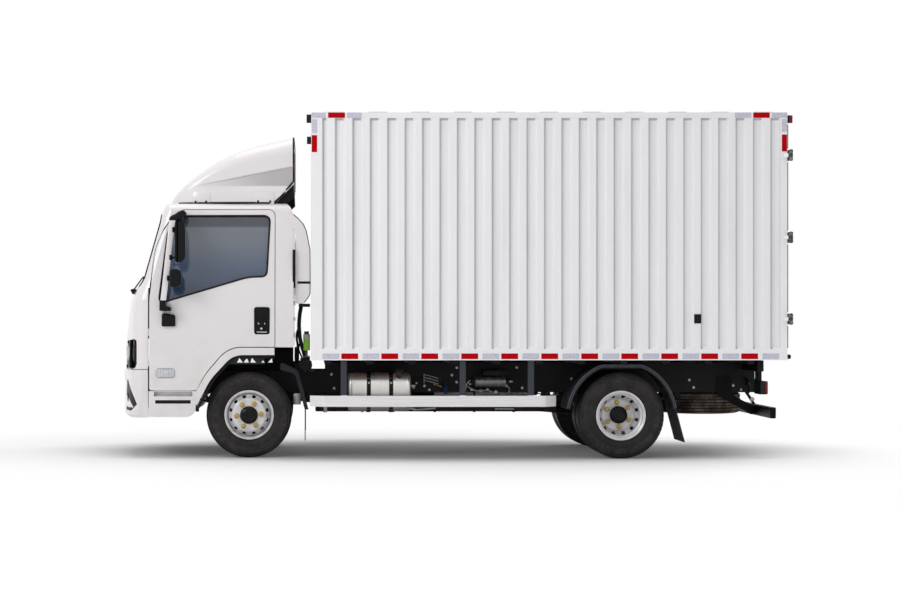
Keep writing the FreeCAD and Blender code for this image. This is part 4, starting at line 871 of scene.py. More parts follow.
def valve(centre, way, face):
    """A bent brass valve that comes out of a rim beside a hand hole."""
    x, y, z = centre
    reach = [(x + 0.02, y + way * face, z - 0.187), (x + 0.02, y + way * (face + 0.03), z - 0.18),
             (x + 0.02, y + way * (face + 0.062), z - 0.176)]
    return joined([tube(reach, 0.0038), drum(reach[-1], (x + 0.02, y + way * (face + 0.078), z - 0.175), 0.0052, 12)])


both_sides(valve(FRONT_WHEEL, 1, 0.02), "valve_front", "wheel_front_left", gold_zinc)
both_sides(valve(REAR_WHEEL, 1, -0.02), "valve_rear", "wheels_rear_left", gold_zinc)
print("wheels dressed")

# %% [markdown]
# ## Doors
# The side window sits in a black rubber frame. The handle lies in a black cup, and the side lamp has a
# clear fluted lens in a grey rim.

# %% Window seal, handle and side lamp
def cab_side(z):
    """Half width of the cab at a height, read off the CAD: upright to the belt line, then leaning in."""
    if z < 1.408:
        return 0.93 - 0.012 * min(1, max(0, (z - 1.18) / 0.228))
    return 0.918 - 0.113 * (z - 1.408) / 0.902


WINDOW = [(2.662, 1.398, 0.045), (2.582, 2.06, 0.15), (2.44, 2.198, 0.12), (1.652, 2.2, 0.06),
          (1.682, 1.645, 0.055), (1.85, 1.64, 0.5)]
seal_points = [(p.x, cab_side(p.y) - 0.001, p.y) for p in smooth_outline(WINDOW, 6)]
both_sides(bead(seal_points, 0.0085), "window_seal", "cab_door_left", seal_rubber)

HANDLE = (1.725, 0.918, 1.244)
hx, _, hz = HANDLE
grip = side_plate([(hx - 0.048, hz + 0.02), (hx - 0.048, hz + 0.102), (hx - 0.03, hz + 0.112),
                   (hx + 0.036, hz + 0.112), (hx + 0.05, hz + 0.096), (hx + 0.05, hz + 0.02)], 0.908, 0.012, 0.004)
spine = block((hx - 0.02, 0.91, hz - 0.085), (hx + 0.016, 0.927, hz + 0.08), 0.007, 3)
rim_bead = bead([(p.x, 0.9285, p.y) for p in smooth_outline(
    [(hx - 0.068, hz - 0.121, 0.02), (hx + 0.068, hz - 0.121, 0.02), (hx + 0.068, hz + 0.121, 0.02),
     (hx - 0.068, hz + 0.121, 0.02)], 4)], 0.003)
cup = block((1.6566, 0.9046, 1.1226), (1.7934, 0.9082, 1.3654), 0.0012, 1)
both_sides([grip, spine, rim_bead, cup], "door_handle", "cab_door_left", gloss_black)
lock = joined([drum((x, 0.908, z), (x, out, z), radius, 20, 0.002)
               for x, z, out, radius in ((hx + 0.005, hz - 0.071, 0.929, 0.01), (hx + 0.03, hz - 0.026, 0.916, 0.007),
                                         (hx - 0.024, hz - 0.026, 0.916, 0.007))]
              + [block((hx - 0.044, 0.908, hz - 0.108), (hx + 0.046, 0.913, hz - 0.098), 0.002)])
both_sides(lock, "door_lock", "cab_door_left", chrome)

LAMP_LOW, LAMP_HIGH = (2.518, 0.926, 0.733), (2.68, 0.938, 0.807)
side_lamp = block(LAMP_LOW, LAMP_HIGH, 0.009, 3)
both_sides(side_lamp, "side_lamp", "cab_door_left", clear_lens)
lamp_rim = bead([(p.x, 0.9305, p.y)
                 for p in smooth_outline([(LAMP_LOW[0] - 0.004, LAMP_LOW[2] - 0.004, 0.022),
                                          (LAMP_HIGH[0] + 0.004, LAMP_LOW[2] - 0.004, 0.03),
                                          (LAMP_HIGH[0] + 0.002, LAMP_HIGH[2] + 0.004, 0.022),
                                          (LAMP_LOW[0] - 0.004, LAMP_HIGH[2] + 0.004, 0.03)], 4)], 0.0042)
both_sides(lamp_rim, "side_lamp_rim", "cab_door_left", zinc)
bulb = block((2.548, 0.93, 0.756), (2.59, 0.94, 0.788), 0.006)
both_sides(bulb, "side_lamp_bulb", "cab_door_left", chrome)

# %% [markdown]
# ## Conspicuity tape
# Red and white tape marks the outline of the load space: a dashed line along the bottom rail and an
# angle at each top corner. Each length is a thin strip with softened edges.

# %% Tape on the sides
SIDE_TAPE_Y = 1.1
RED_PITCH, TAPE_LONG, TAPE_THICK = 0.358, 0.151, 0.0009


def side_strip(x0, x1, z0, z1):
    """A strip of tape between two X and two Z values on the left wall's rails."""
    return block((min(x0, x1), SIDE_TAPE_Y - 0.001, z0), (max(x0, x1), SIDE_TAPE_Y + TAPE_THICK, z1), 0.0007, 1)


bottom_low, bottom_high = 0.901, 0.952
first_red = 1.0099
reds = [side_strip(first_red - RED_PITCH * i, first_red - RED_PITCH * i - TAPE_LONG, bottom_low, bottom_high)
        for i in range(11)]
whites = [side_strip(first_red - RED_PITCH * i + 0.029 + TAPE_LONG - 0.012, first_red - RED_PITCH * i + 0.029 - 0.012,
                     bottom_low, bottom_high) for i in range(12)]
top_low, top_high = 3.061, 3.109
reds += [side_strip(1.128, 0.976, top_low, top_high), side_strip(-2.678, -2.826, top_low, top_high),
         side_strip(1.275, 1.226, 2.754, 2.906), side_strip(-2.934, -2.981, 2.76, 2.912)]
whites += [side_strip(1.277, 1.149, top_low, top_high), side_strip(0.957, 0.826, top_low, top_high),
           side_strip(-2.512, -2.66, top_low, top_high), side_strip(-2.844, -2.982, top_low, top_high),
           side_strip(1.275, 1.226, 2.926, 3.05), side_strip(-2.934, -2.981, 2.936, 3.05)]
both_sides(reds, "tape_red", "chassis", red_tape)
both_sides(whites, "tape_white", "chassis", white_tape)
print("tape on")

# %% [markdown]
# ## Landing pieces on the CAD surfaces
# Trim follows curved panels. A ray sent at a CAD body gives the exact point where a piece has to sit, so
# no curve of the cab is guessed twice.

# %% Rays on the CAD bodies
FORWARD, SIDEWAYS, UPWARD = Vector((1, 0, 0)), Vector((0, 1, 0)), Vector((0, 0, 1))


def landed(nodes, point, way):
    """The first point that a ray from a place meets on any of some CAD nodes."""
    best = None
    for name in nodes:
        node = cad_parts[name]
        inverse = node.matrix_world.inverted()
        hit, place, _, _ = node.ray_cast(inverse @ Vector(point), inverse.to_3x3() @ Vector(way))
        if hit:
            place = node.matrix_world @ place
            if best is None or (place - Vector(point)).length < (best - Vector(point)).length:
                best = place
    return best


def from_front(nodes, y, z, off=0):
    """The foremost point of some nodes at a Y and a Z, moved forward a little."""
    place = landed(nodes, (4, y, z), -FORWARD)
    return None if place is None else place + FORWARD * off


def from_side(nodes, x, z, off=0):
    """The leftmost point of some nodes at an X and a Z, moved outward a little."""
    place = landed(nodes, (x, 3, z), -SIDEWAYS)
    return None if place is None else place + SIDEWAYS * off


def widened(corners, distance):
    """A (u, v, radius) outline grown outward from its middle by a distance."""
    mu = sum(c[0] for c in corners) / len(corners)
    mv = sum(c[1] for c in corners) / len(corners)
    return [(u + math.copysign(distance, u - mu), v + math.copysign(distance, v - mv), r + distance)
            for u, v, r in corners]


print("rays and outlines ready")

# %% [markdown]
# ## Windscreen
# The screen is bonded into a black rubber frame that shows as a dark line down the edge of the cab. The
# glass has a printed dark border, and two wipers rest along its lower edge.

# %% Screen frame, dark border and wipers
SCREEN = [(-0.838, 1.566, 0.07), (0.838, 1.566, 0.07), (0.752, 2.205, 0.09), (-0.752, 2.205, 0.09)]
REAR_GLASS = [(-0.6, 1.5, 0.06), (0.6, 1.5, 0.06), (0.56, 1.98, 0.06), (-0.56, 1.98, 0.06)]
screen_line = [from_front(["cab_shell", "front_panel"], p.x, p.y, -0.002)
               for p in smooth_outline(widened(SCREEN, 0.007), 6)]
done(bead([p for p in screen_line if p], 0.0095, True, 3), "screen_seal", "cab", seal_rubber)
rear_line = [(1.4395, p.x, p.y) for p in smooth_outline(widened(REAR_GLASS, 0.004), 5)]
done(bead(rear_line, 0.008), "rear_glass_seal", "cab", seal_rubber)

screen_glass = Finish("screen_glass", "glass", Roughness=0.03, Coat_Weight=1, Coat_Roughness=0.02)
x, y, z = screen_glass.axes()
border = ((y.math("ABSOLUTE") + z * 0.1346 > 1.023) + (z > 2.165) + (z < 1.61)).clamp() * (x > 2.2)
shade = z.smooth(1.9, 2.18)
screen_glass.set(Base_Color=screen_glass.mix(border, screen_glass.mix(shade, "#687485", "#303640"),
                                             "#0c0c0e"), Alpha=(border + shade * 0.3 + 0.5).clamp())
screen_glass.bump(screen_glass.noise(3, 1), 0.02, 0.002)
dress("cab_glass", screen_glass)


def wiper(pivot_y, reach):
    """Arm, blade carrier and rubber of one wiper, laid along the lower edge of the screen."""
    glass_nodes = ["cab_glass", "cab_shell", "front_panel"]
    pivot = from_front(glass_nodes, pivot_y, 1.512)
    tip = from_front(glass_nodes, pivot_y - reach * 0.55, 1.655, 0.02)
    cap = drum(pivot - FORWARD * 0.012, pivot + FORWARD * 0.03 + UPWARD * 0.012, 0.019, 18, 0.004)
    head = block((-0.024, -0.018, -0.012), (0.024, 0.05, 0.012), 0.007)
    head = moved(head, shift(*(pivot + FORWARD * 0.024)) @ turned(math.radians(-62), "Y"))
    arm = tube([pivot + FORWARD * 0.024, pivot.lerp(tip, 0.45) + FORWARD * 0.02, tip], 0.0065)
    line = [from_front(glass_nodes, pivot_y - reach * t, 1.635 + 0.028 * t, 0.012) for t in (0.08, 0.3, 0.55, 0.8, 1)]
    carrier = tube(line, 0.006)
    rubber_edge = tube([p - FORWARD * 0.0075 - UPWARD * 0.003 for p in line], 0.0032, 1)
    claws = [drum(p - FORWARD * 0.006, p + FORWARD * 0.006, 0.009, 8) for p in line[1:4]]
    return joined([cap, head, arm, carrier, rubber_edge] + claws)


done(wiper(0.56, 0.62), "wiper_left", "cab", trim_plastic)
done(wiper(-0.1, 0.62), "wiper_right", "cab", trim_plastic)

# %% [markdown]
# ## Mirrors
# A white bow arm stands out from the door on two black brackets. It carries a tall main mirror and a wide
# one below it. The glass of each lies in its housing's back, inside a thin rubber edge.

# %% Mirror housings, arm and brackets
mirror_face = Finish("mirror_face", "steel", Base_Color="#c4cad0", Metallic=1)
mirror_face.set(Roughness=mirror_face.noise(5, 2) * 0.03 + 0.02)
mirror_face.bump(mirror_face.noise(2.5, 1), 0.02, 0.004)
ARM_Y = 1.058


def housing(x0, x1, y0, y1, z0, z1, rear):
    """A mirror shell: upright at the arm, with large corners at its back, and every edge softened."""
    corners = [(x0, z0, rear), (x1, z0, 0.025), (x1, z1, 0.025), (x0, z1, rear)]
    return rounded(plate([(p.x, y0, p.y) for p in smooth_outline(corners, 6)], (0, y1 - y0, 0)), 0.014, 4, 50)


def pane(x, y0, y1, z0, z1):
    """Mirror glass with rounded corners, a little inside the housing's back."""
    corners = [(y0, z0, 0.028), (y1, z0, 0.028), (y1, z1, 0.028), (y0, z1, 0.028)]
    points = [(x, p.x, p.y) for p in smooth_outline(corners, 5)]
    return plate(points, (-0.0012, 0, 0)), bead(points, 0.0028)


arm_points = [(2.607, ARM_Y, 1.426), (2.591, ARM_Y, 1.56), (2.559, ARM_Y, 1.86), (2.525, ARM_Y, 2.146)]
arm = plate([(x + 0.026, y, z) for x, y, z in arm_points] + [(x - 0.026 - 0.001 * i, y, z) for i, (x, y, z) in
                                                              reversed(list(enumerate(arm_points)))],
            (0, 0.024, 0), 0.007)
arm = moved(arm, shift(0, -0.012, 0))
top_bracket = side_plate([(2.552, 2.142), (2.554, 2.172), (2.536, 2.186), (2.446, 2.228), (2.42, 2.236),
                          (2.404, 2.218), (2.43, 2.18), (2.444, 2.142)], 0.842, 0.226, 0.008)
low_bracket = side_plate([(2.642, 1.332), (2.642, 1.43), (2.586, 1.43), (2.582, 1.374), (2.54, 1.368),
                          (2.538, 1.332)], 0.9235, 0.145, 0.009)
foot_box = side_plate([(2.63, 1.192), (2.63, 1.3), (2.618, 1.314), (2.52, 1.3), (2.506, 1.286), (2.506, 1.192)],
                      0.9285, 0.032, 0.01)
main_shell = housing(2.406, 2.495, 1.003, 1.175, 1.767, 2.134, 0.07)
wide_shell = housing(2.442, 2.542, 1.013, 1.169, 1.546, 1.706, 0.05)
stalks = [tube([(2.492, ARM_Y, z + 0.012), (2.53, ARM_Y, z + 0.012), (x, ARM_Y, z + 0.012)], 0.0095)
          for z, x in ((1.8, 2.568), (2.05, 2.545), (1.615, 2.59))]
collars = [drum((x - 0.03, ARM_Y, z - 0.012), (x - 0.03, ARM_Y, z + 0.036), 0.016, 16, 0.003)
           for z, x in ((1.8, 2.572), (2.05, 2.546), (1.615, 2.594))]
both_sides(arm, "mirror_arm", "cab_door_left", cab_paint)
both_sides([main_shell, wide_shell, top_bracket, low_bracket, foot_box] + stalks + collars, "mirror_set",
           "cab_door_left", gloss_black, angle=45, node="mirrors_left")
main_glass, main_edge = pane(2.4052, 1.022, 1.158, 1.838, 2.064)
wide_glass, wide_edge = pane(2.4412, 1.032, 1.15, 1.594, 1.658)
both_sides([main_glass, wide_glass], "mirror_glass", "cab_door_left", mirror_face)
both_sides([main_edge, wide_edge], "mirror_glass_edge", "cab_door_left", seal_rubber)
print("screen and mirrors ready")

# %% [markdown]
# ## Roof fairing
# The wind deflector stands on a rubber strip, ends in a dark edge, and is screwed down through two
# raised pads on the ledge of each side.

# %% Fairing seals, pads and screws
FAIRING = ["roof_fairing"]


def chain(places):
    return [p for p in places if p is not None]


foot_left = chain(from_side(FAIRING + ["cab_shell"], x, 2.3205, 0.002)
                  for x in (1.602, 1.66, 1.72, 1.84, 1.96, 2.08, 2.2, 2.3, 2.38, 2.44, 2.49))
foot_front = chain(from_front(FAIRING, y, 2.322, 0.001) for y in (0.52, 0.45, 0.3, 0.15, 0))
half_foot = foot_left + foot_front
foot_line = half_foot + [Vector((p.x, -p.y, p.z)) for p in reversed(half_foot[:-1])]
done(bead(foot_line, 0.0095, False, 3), "fairing_foot_seal", "cab", seal_rubber)

slant = chain(from_side(FAIRING, 1.452 + 0.168 * t, 2.474 - 0.152 * t) for t in (0.98, 0.8, 0.6, 0.4, 0.2, 0.02))
upright = chain(from_side(FAIRING, 1.441, z) for z in (2.52, 2.6, 2.68, 2.74, 2.79, 2.83, 2.86))
over = chain(landed(FAIRING, (1.441, y, 4), -UPWARD) for y in (0.7, 0.67, 0.63, 0.58, 0.4, 0.2, 0))
half_edge = [p - SIDEWAYS * 0.003 for p in slant + upright] + [p - UPWARD * 0.004 for p in over]
rear_edge = half_edge + [Vector((p.x, -p.y, p.z)) for p in reversed(half_edge[:-1])]
done(bead(rear_edge, 0.0085, False, 3), "fairing_rear_edge", "cab", seal_rubber)

# Painted shade: a black sheet inside the fairing's rear corner darkens where its inside shows in shade.
corner = [(1.4415, 2.5), (1.436, 2.37), (1.503, 2.3075), (1.602, 2.32), (1.452, 2.474)]
both_sides(side_plate(corner, 0.7, 0.01, 0.003), "fairing_corner_shade_sheet", "cab", trim_plastic)

pads, screws = [], []
for start, end in ((2.206, 2.365), (1.619, 1.79)):
    corners = [(start, 2.324), (end, 2.324), (end, 2.414), (end - 0.012, 2.421), (start + 0.012, 2.421),
               (start, 2.414)]
    pads.append(plate([from_side(FAIRING, x, z, -0.002) for x, z in corners], (0, 0.01, 0), 0.003))
    for x in (start + 0.034, end - 0.026):
        seat = from_side(FAIRING, x, 2.334, 0.007)
        screws += [drum(seat, seat + SIDEWAYS * 0.0045, 0.0095, 14, 0.0012),
                   drum(seat, seat + SIDEWAYS * 0.008, 0.005, 6, 0.0008)]
both_sides(pads, "fairing_pads", "cab", cab_paint)
both_sides(screws, "fairing_screws", "cab", trim_plastic)

# %% [markdown]
# ## Front of the cab
# The recess between the headlamps holds dark slats. The bumper has a wide lower slot behind bars, corner
# pockets with fog lamps, and a blank plate. The lamps show two silver bowls behind one dark pane, their bright rings
# a painted reflection.

# %% Headlamp bowls and bezels
def bowl_lamps(name, places, wide):
    """A dark pane with silver round bowls behind it, their bright rings a painted reflection, drawn by the distance
    from each bowl's centre.
    """
    finish = Finish(name, "lamp", Roughness=0.3, Coat_Roughness=0.02, Specular_IOR_Level=0)
    _, y, z = finish.axes()
    out = y.math("ABSOLUTE")
    bright = None
    for cy, cz, radius in places:
        share = finish.far(out - cy, z - cz) / radius
        rings = (share * 3).math("FRACT").smooth(0.1, 0.9) * 0.55 + 0.3
        bowl = (share < 1) * rings
        bright = bowl if bright is None else bright.math("MAXIMUM", bowl)
    corner = out.smooth(wide, wide + 0.05)
    # Painted reflection: the silver bowls are drawn as bright rings in the base colour.
    silver_and_painted_reflection = bright * (1 - corner)
    finish.set(Coat_Weight=(1 - corner) * 0.3)
    cells = finish.cells(34)
    dark = finish.ramp(cells, (0, "#0a0b0d"), (0.8, "#222429"))
    finish.set(Base_Color=finish.mix(silver_and_painted_reflection, dark, "#dee2e8"))
    finish.bump(cells + bright, 0.2, 0.003)
    return finish


lamp_glass = bowl_lamps("headlamp_glass", [(0.622, 0.95, 0.07), (0.722, 0.96, 0.046)], 0.7)
dress("headlamps", lamp_glass)
LAMP = [(0.545, 0.812, 0.03), (0.905, 0.812, 0.06), (0.905, 1.078, 0.06), (0.6, 1.06, 0.04)]
PANEL = ["front_panel", "headlamps", "bumper"]
bezel_line = chain(from_front(PANEL, p.x, p.y, -0.001) for p in smooth_outline(LAMP, 6) if p.x < 0.896)
both_sides(bead(bezel_line, 0.0055, False, 2), "headlamp_bezel", "cab", trim_plastic)

# %% Slats of the grille and of the lower slot
GRILLE_Z = (0.89, 0.918, 0.946, 0.974, 1.002)


def slat(z, half, forward, thick, nodes):
    """A bar across the cab that follows its bowed face."""
    line = chain(from_front(nodes, y * half, z, forward) for y in (-1, -0.75, -0.5, -0.25, 0, 0.25, 0.5, 0.75, 1))
    outer = [(p.x, p.y, z - thick) for p in line]
    inner = [(p.x - 0.012, p.y, z - thick) for p in reversed(line)]
    return plate(outer + inner, (0, 0, thick * 2), 0.0025)


slats = [slat(z, 0.495 + 0.36 * (z - 0.872), 0.009, 0.0065, PANEL) for z in GRILLE_Z]
ribs = []
for y in (-0.42, -0.28, -0.14, 0, 0.14, 0.28, 0.42):
    place = from_front(PANEL, y, 0.946)
    ribs.append(block((place.x - 0.002, y - 0.004, 0.88), (place.x + 0.01, y + 0.004, 1.012), 0.002))
done(slats + ribs, "grille_slats", "cab", trim_plastic)

slot_backing = block((2.955, -0.455, 0.552), (2.962, 0.455, 0.668), 0.003)
slot_bars = [plate([(3.02 - 0.055 * (y / 0.44) ** 2 * 0.9, y, z) for y in [0.43 * k / 4 for k in range(-4, 5)]]
                   + [(2.99 - 0.055 * (y / 0.44) ** 2 * 0.9, y, z) for y in [0.43 * k / 4 for k in range(4, -5, -1)]],
                  (0, 0, 0.009), 0.003) for z in (0.582, 0.607, 0.632)]
slot_posts = [block((2.96, y - 0.005, 0.556), (3.01 - 0.25 * y * y, y + 0.005, 0.664), 0.002)
              for y in (-0.3, -0.1, 0.1, 0.3)]
done([slot_backing] + slot_bars + slot_posts, "lower_slot_bars", "cab", trim_plastic)

# %% Bumper corners, fog lamps and the blank plate
bumper_paint, veil = cab_white("bumper_paint")
ahead, aside, above = bumper_paint.axes()
wide = aside.math("ABSOLUTE")
slope = 2.955 - (0.704 - above) * 0.46
low_turn = 2.868 + (0.475 - above) * 0.95
boundary = slope.math("MAXIMUM", low_turn)
pocket = (ahead > boundary) * (above < 0.706) * (above > 0.428) * (wide > 0.625)
fin = (above < 0.556) * (above > 0.458) * (ahead > above * 0.626 + 2.603)
black_part = (pocket - pocket * fin).clamp()
white_part = bumper_paint.mix(veil, CAB_WHITE, CAB_DUST)
bumper_paint.set(Base_Color=bumper_paint.mix(black_part, white_part, "#070709"), Coat_Weight=0.6 - black_part * 0.6,
                 Roughness=veil * 0.5 + 0.32 + black_part * 0.2)
dress("bumper", bumper_paint)


def round_lamp(place, radius, depth):
    """The ring and the domed lens of a front lamp, made about Y and turned to face X."""
    ring = lathed([(radius * 0.82, 0), (radius, 0), (radius, depth), (radius * 0.94, depth + 0.004),
                   (radius * 0.84, depth), (radius * 0.82, 0)], (0, 0, 0), 36)
    face = lathed([(0, 0), (radius * 0.83, 0), (radius * 0.83, depth * 0.6), (radius * 0.5, depth * 0.86),
                   (0, depth * 0.95), (0, 0)], (0, 0, 0), 36)
    turn = shift(*place) @ turned(math.radians(-90), "Z")
    return moved(ring, turn), moved(face, turn)


fog_place = from_front(["bumper"], 0.715, 0.545, -0.02)
fog_ring, fog_face = round_lamp(fog_place, 0.044, 0.016)
both_sides(fog_ring, "fog_lamp_ring", "cab", trim_plastic)
both_sides(fog_face, "fog_lamp_lens", "cab", clear_lens)
plate_face = from_front(PANEL, 0, 0.735).x
front_plate = block((plate_face - 0.014, -0.22, 0.688), (plate_face + 0.003, 0.22, 0.783), 0.0015, 2)
done(front_plate, "front_plate_blank", "cab", box_paint)
plate_screws = [drum((plate_face + 0.002, y, 0.736), (plate_face + 0.0055, y, 0.736), 0.006, 12, 0.001)
                for y in (-0.19, 0.19)]
done(plate_screws, "front_plate_screws", "cab", zinc)

# %% [markdown]
# ## Steps and wheel arches
# Each step hides in a recess with a grey lining and a ribbed aluminium tread. Under the white flare over
# the front wheel hangs a black liner.

# %% Step lining, tread and arch liner
lining = [block((2.352, 0.858, 0.562), (2.703, 0.864, 0.612), 0.001),
          block((2.352, 0.862, 0.6), (2.703, 0.905, 0.613), 0.001)]
both_sides(lining, "step_lining", "cab", cab_paint)
tread = [block((2.33, 0.742, 0.5602), (2.698, 0.898, 0.5632), 0.001)]
tread += [block((2.336, 0.748 + 0.0165 * k, 0.563), (2.692, 0.755 + 0.0165 * k, 0.5672), 0.0015, 1) for k in range(9)]
both_sides(tread, "step_tread", "cab", guard_metal)
both_sides(block((2.366, 0.905, 0.49), (2.694, 0.917, 0.53), 0.003), "step_slit", "cab", trim_plastic)
both_sides(block((2.296, 0.868, 0.42), (2.327, 0.902, 0.468), 0.006), "step_end_block", "cab", trim_plastic)


def arch_line(drop):
    """The flare's inner line from back to front, moved down and inward by a drop."""
    turns = smooth_outline([(1.612, 0.934 - drop, 0), (1.975 - drop * 0.4, 0.934 - drop, 0.2),
                            (2.175 - drop, 0.715, 0.5), (2.318 - drop, 0.45, 0), (1.612, 0.3, 0)], 6)
    return [p for p in turns if p.y > 0.44]


outer_line, inner_line = arch_line(0.0005), arch_line(0.024)
clips = [plate([(x - half, 0.926, 0.866), (x + half, 0.926, 0.866), (x + lean, 0.926, top)], (0, 0.003, 0), 0.0006)
         for x, half, lean, top in ((1.924, 0.026, 0.004, 0.9085), (1.866, 0.023, -0.006, 0.9085),
                                    (1.804, 0.026, 0.01, 0.9085), (1.716, 0.015, -0.002, 0.886),
                                    (1.65, 0.022, -0.016, 0.904))]
both_sides(clips, "arch_clips", "cab", box_paint)
liner = plate([(p.x, 0.8, p.y) for p in outer_line] + [(p.x, 0.8, p.y) for p in reversed(inner_line)], (0, 0.128, 0),
              0.004)
teeth = [block((1.66 + 0.062 * k, 0.8, 0.898), (1.682 + 0.062 * k, 0.9295, 0.911), 0.003) for k in range(5)]
both_sides([liner] + teeth, "arch_liner", "cab", trim_plastic)
print("front and steps ready")

# %% [markdown]
# ## Duct and the gap behind the cab
# The intake duct is held by two black bands and breathes through hoses to a round filter. The bottle is
# green up to its level mark, and a grey cover hangs beside the frame.

# %% Duct bands, hoses and filter
bands = [block((1.2835, 0.6375, 1.579), (1.405, 0.8625, 1.602), 0.004),
         block((1.289, 0.645, 1.37), (1.393, 0.855, 1.399), 0.006)]
slot = block((1.4215, 0.876, 1.54), (1.448, 0.895, 1.888), 0.004)
duct_bolts = [drum((1.3 + 0.09 * k, 0.862, 1.5905), (1.3 + 0.09 * k, 0.867, 1.5905), 0.006, 8, 0.001)
              for k in range(2)]
done(bands + [slot] + duct_bolts, "duct_bands", "cab", trim_plastic)
done(side_plate([(1.427, 1.44), (1.439, 1.44), (1.439, 1.99), (1.427, 1.99)], 0.862, 0.01, 0.002), "duct_strip",
     "cab", cab_paint)
duct_line = [landed(["intake_duct"], (1, 0.856, z), FORWARD)
             for z in (1.408, 1.43, 1.46, 1.49, 1.56, 1.72, 1.89, 1.98, 2.06, 2.12, 2.17, 2.21)]
done(bead([(p.x + 0.002, 0.858, p.z) for p in duct_line if p], 0.0045, False, 3), "duct_edge", "cab", seal_rubber)


def ribbed_hose(points, radius, count):
    """A hose with rings of rubber along it."""
    pipe = tube(points, radius)
    rings = []
    for k in range(count):
        t = (k + 0.5) / count * (len(points) - 1)
        i = int(t)
        a, b = Vector(points[i]), Vector(points[min(i + 1, len(points) - 1)])
        way = (b - a).normalized()
        at = a.lerp(b, t - i)
        rings.append(drum(at - way * 0.004, at + way * 0.004, radius * 1.16, 12))
    return joined([pipe] + rings)


hoses = [ribbed_hose([(1.372, 0.735, 1.372), (1.385, 0.728, 1.3), (1.392, 0.71, 1.2), (1.384, 0.69, 1.1)], 0.017, 14),
         tube([(1.384, 0.69, 1.1), (1.37, 0.67, 1.02), (1.345, 0.645, 0.95), (1.335, 0.628, 0.9)], 0.018),
         tube([(1.322, 0.6, 0.915), (1.33, 0.56, 0.87), (1.345, 0.5, 0.82), (1.36, 0.42, 0.8)], 0.009),
         tube([(1.402, 0.66, 1.16), (1.418, 0.64, 1.09), (1.4, 0.62, 1.02), (1.41, 0.6, 0.93), (1.42, 0.55, 0.86)],
              0.011),
         tube([(1.36, 0.6, 1.01), (1.385, 0.62, 1.05), (1.4, 0.6, 0.98), (1.36, 0.58, 0.9), (1.34, 0.52, 0.84)],
              0.008)]
done(hoses, "intake_hoses", "chassis", seal_rubber)

filter_line = [(0, 0.036), (0.018, 0.036), (0.021, 0.03), (0.034, 0.03), (0.036, 0.024), (0.05, 0.024),
               (0.053, 0.018), (0.062, 0.016), (0.064, 0), (0.06, -0.03), (0, -0.03), (0, 0.036)]
round_filter = lathed(filter_line[:-1], (1.334, 0.7, 0.837), 32)
clamps = [block((1.334 + 0.06 * math.cos(a) - 0.008, 0.69, 0.837 + 0.06 * math.sin(a) - 0.008),
                (1.334 + 0.06 * math.cos(a) + 0.008, 0.722, 0.837 + 0.06 * math.sin(a) + 0.008), 0.003)
          for a in (0.5, 2.6, 4.7)]
done([round_filter] + clamps, "round_filter", "chassis", trim_plastic)

cover = side_plate([(1.374, 0.472), (1.444, 0.472), (1.444, 0.566), (1.43, 0.577), (1.374, 0.577)], 0.604, 0.026,
                   0.006)
cover_ribs = [block((1.38, 0.628, z), (1.438, 0.633, z + 0.006), 0.002) for z in (0.49, 0.515, 0.54)]
cover_arm = block((1.395, 0.376, 0.515), (1.425, 0.606, 0.53), 0.003)
done([cover, cover_arm] + cover_ribs, "side_cover", "chassis", zinc)

# %% [markdown]
# ## Frame fittings
# Along the left rail sit valves, pipes and bolts. They are all small, so each group is one piece made of
# a few drums, blocks and bent pipes.

# %% Pipes, valves and bolts on the left rail
def bolt(x, z, y=0.375, radius=0.0085, out=0.009):
    """A hexagon bolt head on a washer, on a face that looks to the left."""
    washer = drum((x, y - 0.001, z), (x, y + 0.0025, z), radius * 1.45, 14)
    head = drum((x, y + 0.002, z), (x, y + out, z), radius, 6, 0.0012)
    return joined([washer, head])


web_bolts = [bolt(x, z)
             for x, z in [(1.065, 0.612), (1.09, 0.742), (0.222, 0.634), (0.176, 0.598), (-0.035, 0.735),
                          (-0.078, 0.67), (-0.08, 0.805), (-0.15, 0.62), (-0.64, 0.806), (-0.69, 0.615), (-1.15, 0.7),
                          (-1.18, 0.64), (-2.25, 0.69), (-2.29, 0.62), (-2.62, 0.7), (-2.66, 0.64), (-2.735, 0.6)]]
strap_bolts = [bolt(x, 0.679, 0.911, 0.008, 0.016) for x in (0.757, 0.556)]
done(web_bolts + strap_bolts, "frame_bolts_left", "chassis", zinc)

pipes = [tube([(0.228, 0.392, 0.742 - 0.026 * k), (0.205, 0.402, 0.738 - 0.026 * k), (0.12, 0.402, 0.712 - 0.026 * k),
               (0.092, 0.392, 0.706 - 0.026 * k)], 0.0055) for k in range(3)]
pipes += [tube([(0.228, 0.398, 0.748), (0.228, 0.404, 0.7), (0.226, 0.398, 0.66)], 0.0045),
          tube([(-0.17, 0.4, 0.64), (-0.215, 0.42, 0.6), (-0.29, 0.43, 0.585), (-0.36, 0.42, 0.6),
                (-0.42, 0.4, 0.575)], 0.0075),
          tube([(-0.48, 0.42, 0.66), (-0.545, 0.43, 0.64), (-0.575, 0.42, 0.6), (-0.56, 0.4, 0.57)], 0.0065),
          tube([(-0.205, 0.42, 0.69), (-0.175, 0.42, 0.67), (-0.16, 0.41, 0.62), (-0.155, 0.39, 0.57)], 0.0065)]
fittings = [drum((x, 0.384, z), (x, 0.43, z), r, 10, 0.002)
            for x, z, r in [(-0.215, 0.602, 0.013), (-0.3, 0.59, 0.015), (-0.362, 0.604, 0.012), (-0.44, 0.58, 0.016),
                            (-0.535, 0.64, 0.014), (-0.2, 0.655, 0.012), (-0.576, 0.677, 0.012), (0.3, 0.662, 0.01)]]
fittings += [drum((-0.6, 0.4, 0.677), (-0.555, 0.4, 0.677), 0.009, 10),
             drum((0.33, 0.78, 0.65), (0.374, 0.78, 0.65), 0.013, 10, 0.002),
             drum((0.345, 0.78, 0.65), (0.345, 0.78, 0.625), 0.008, 8)]
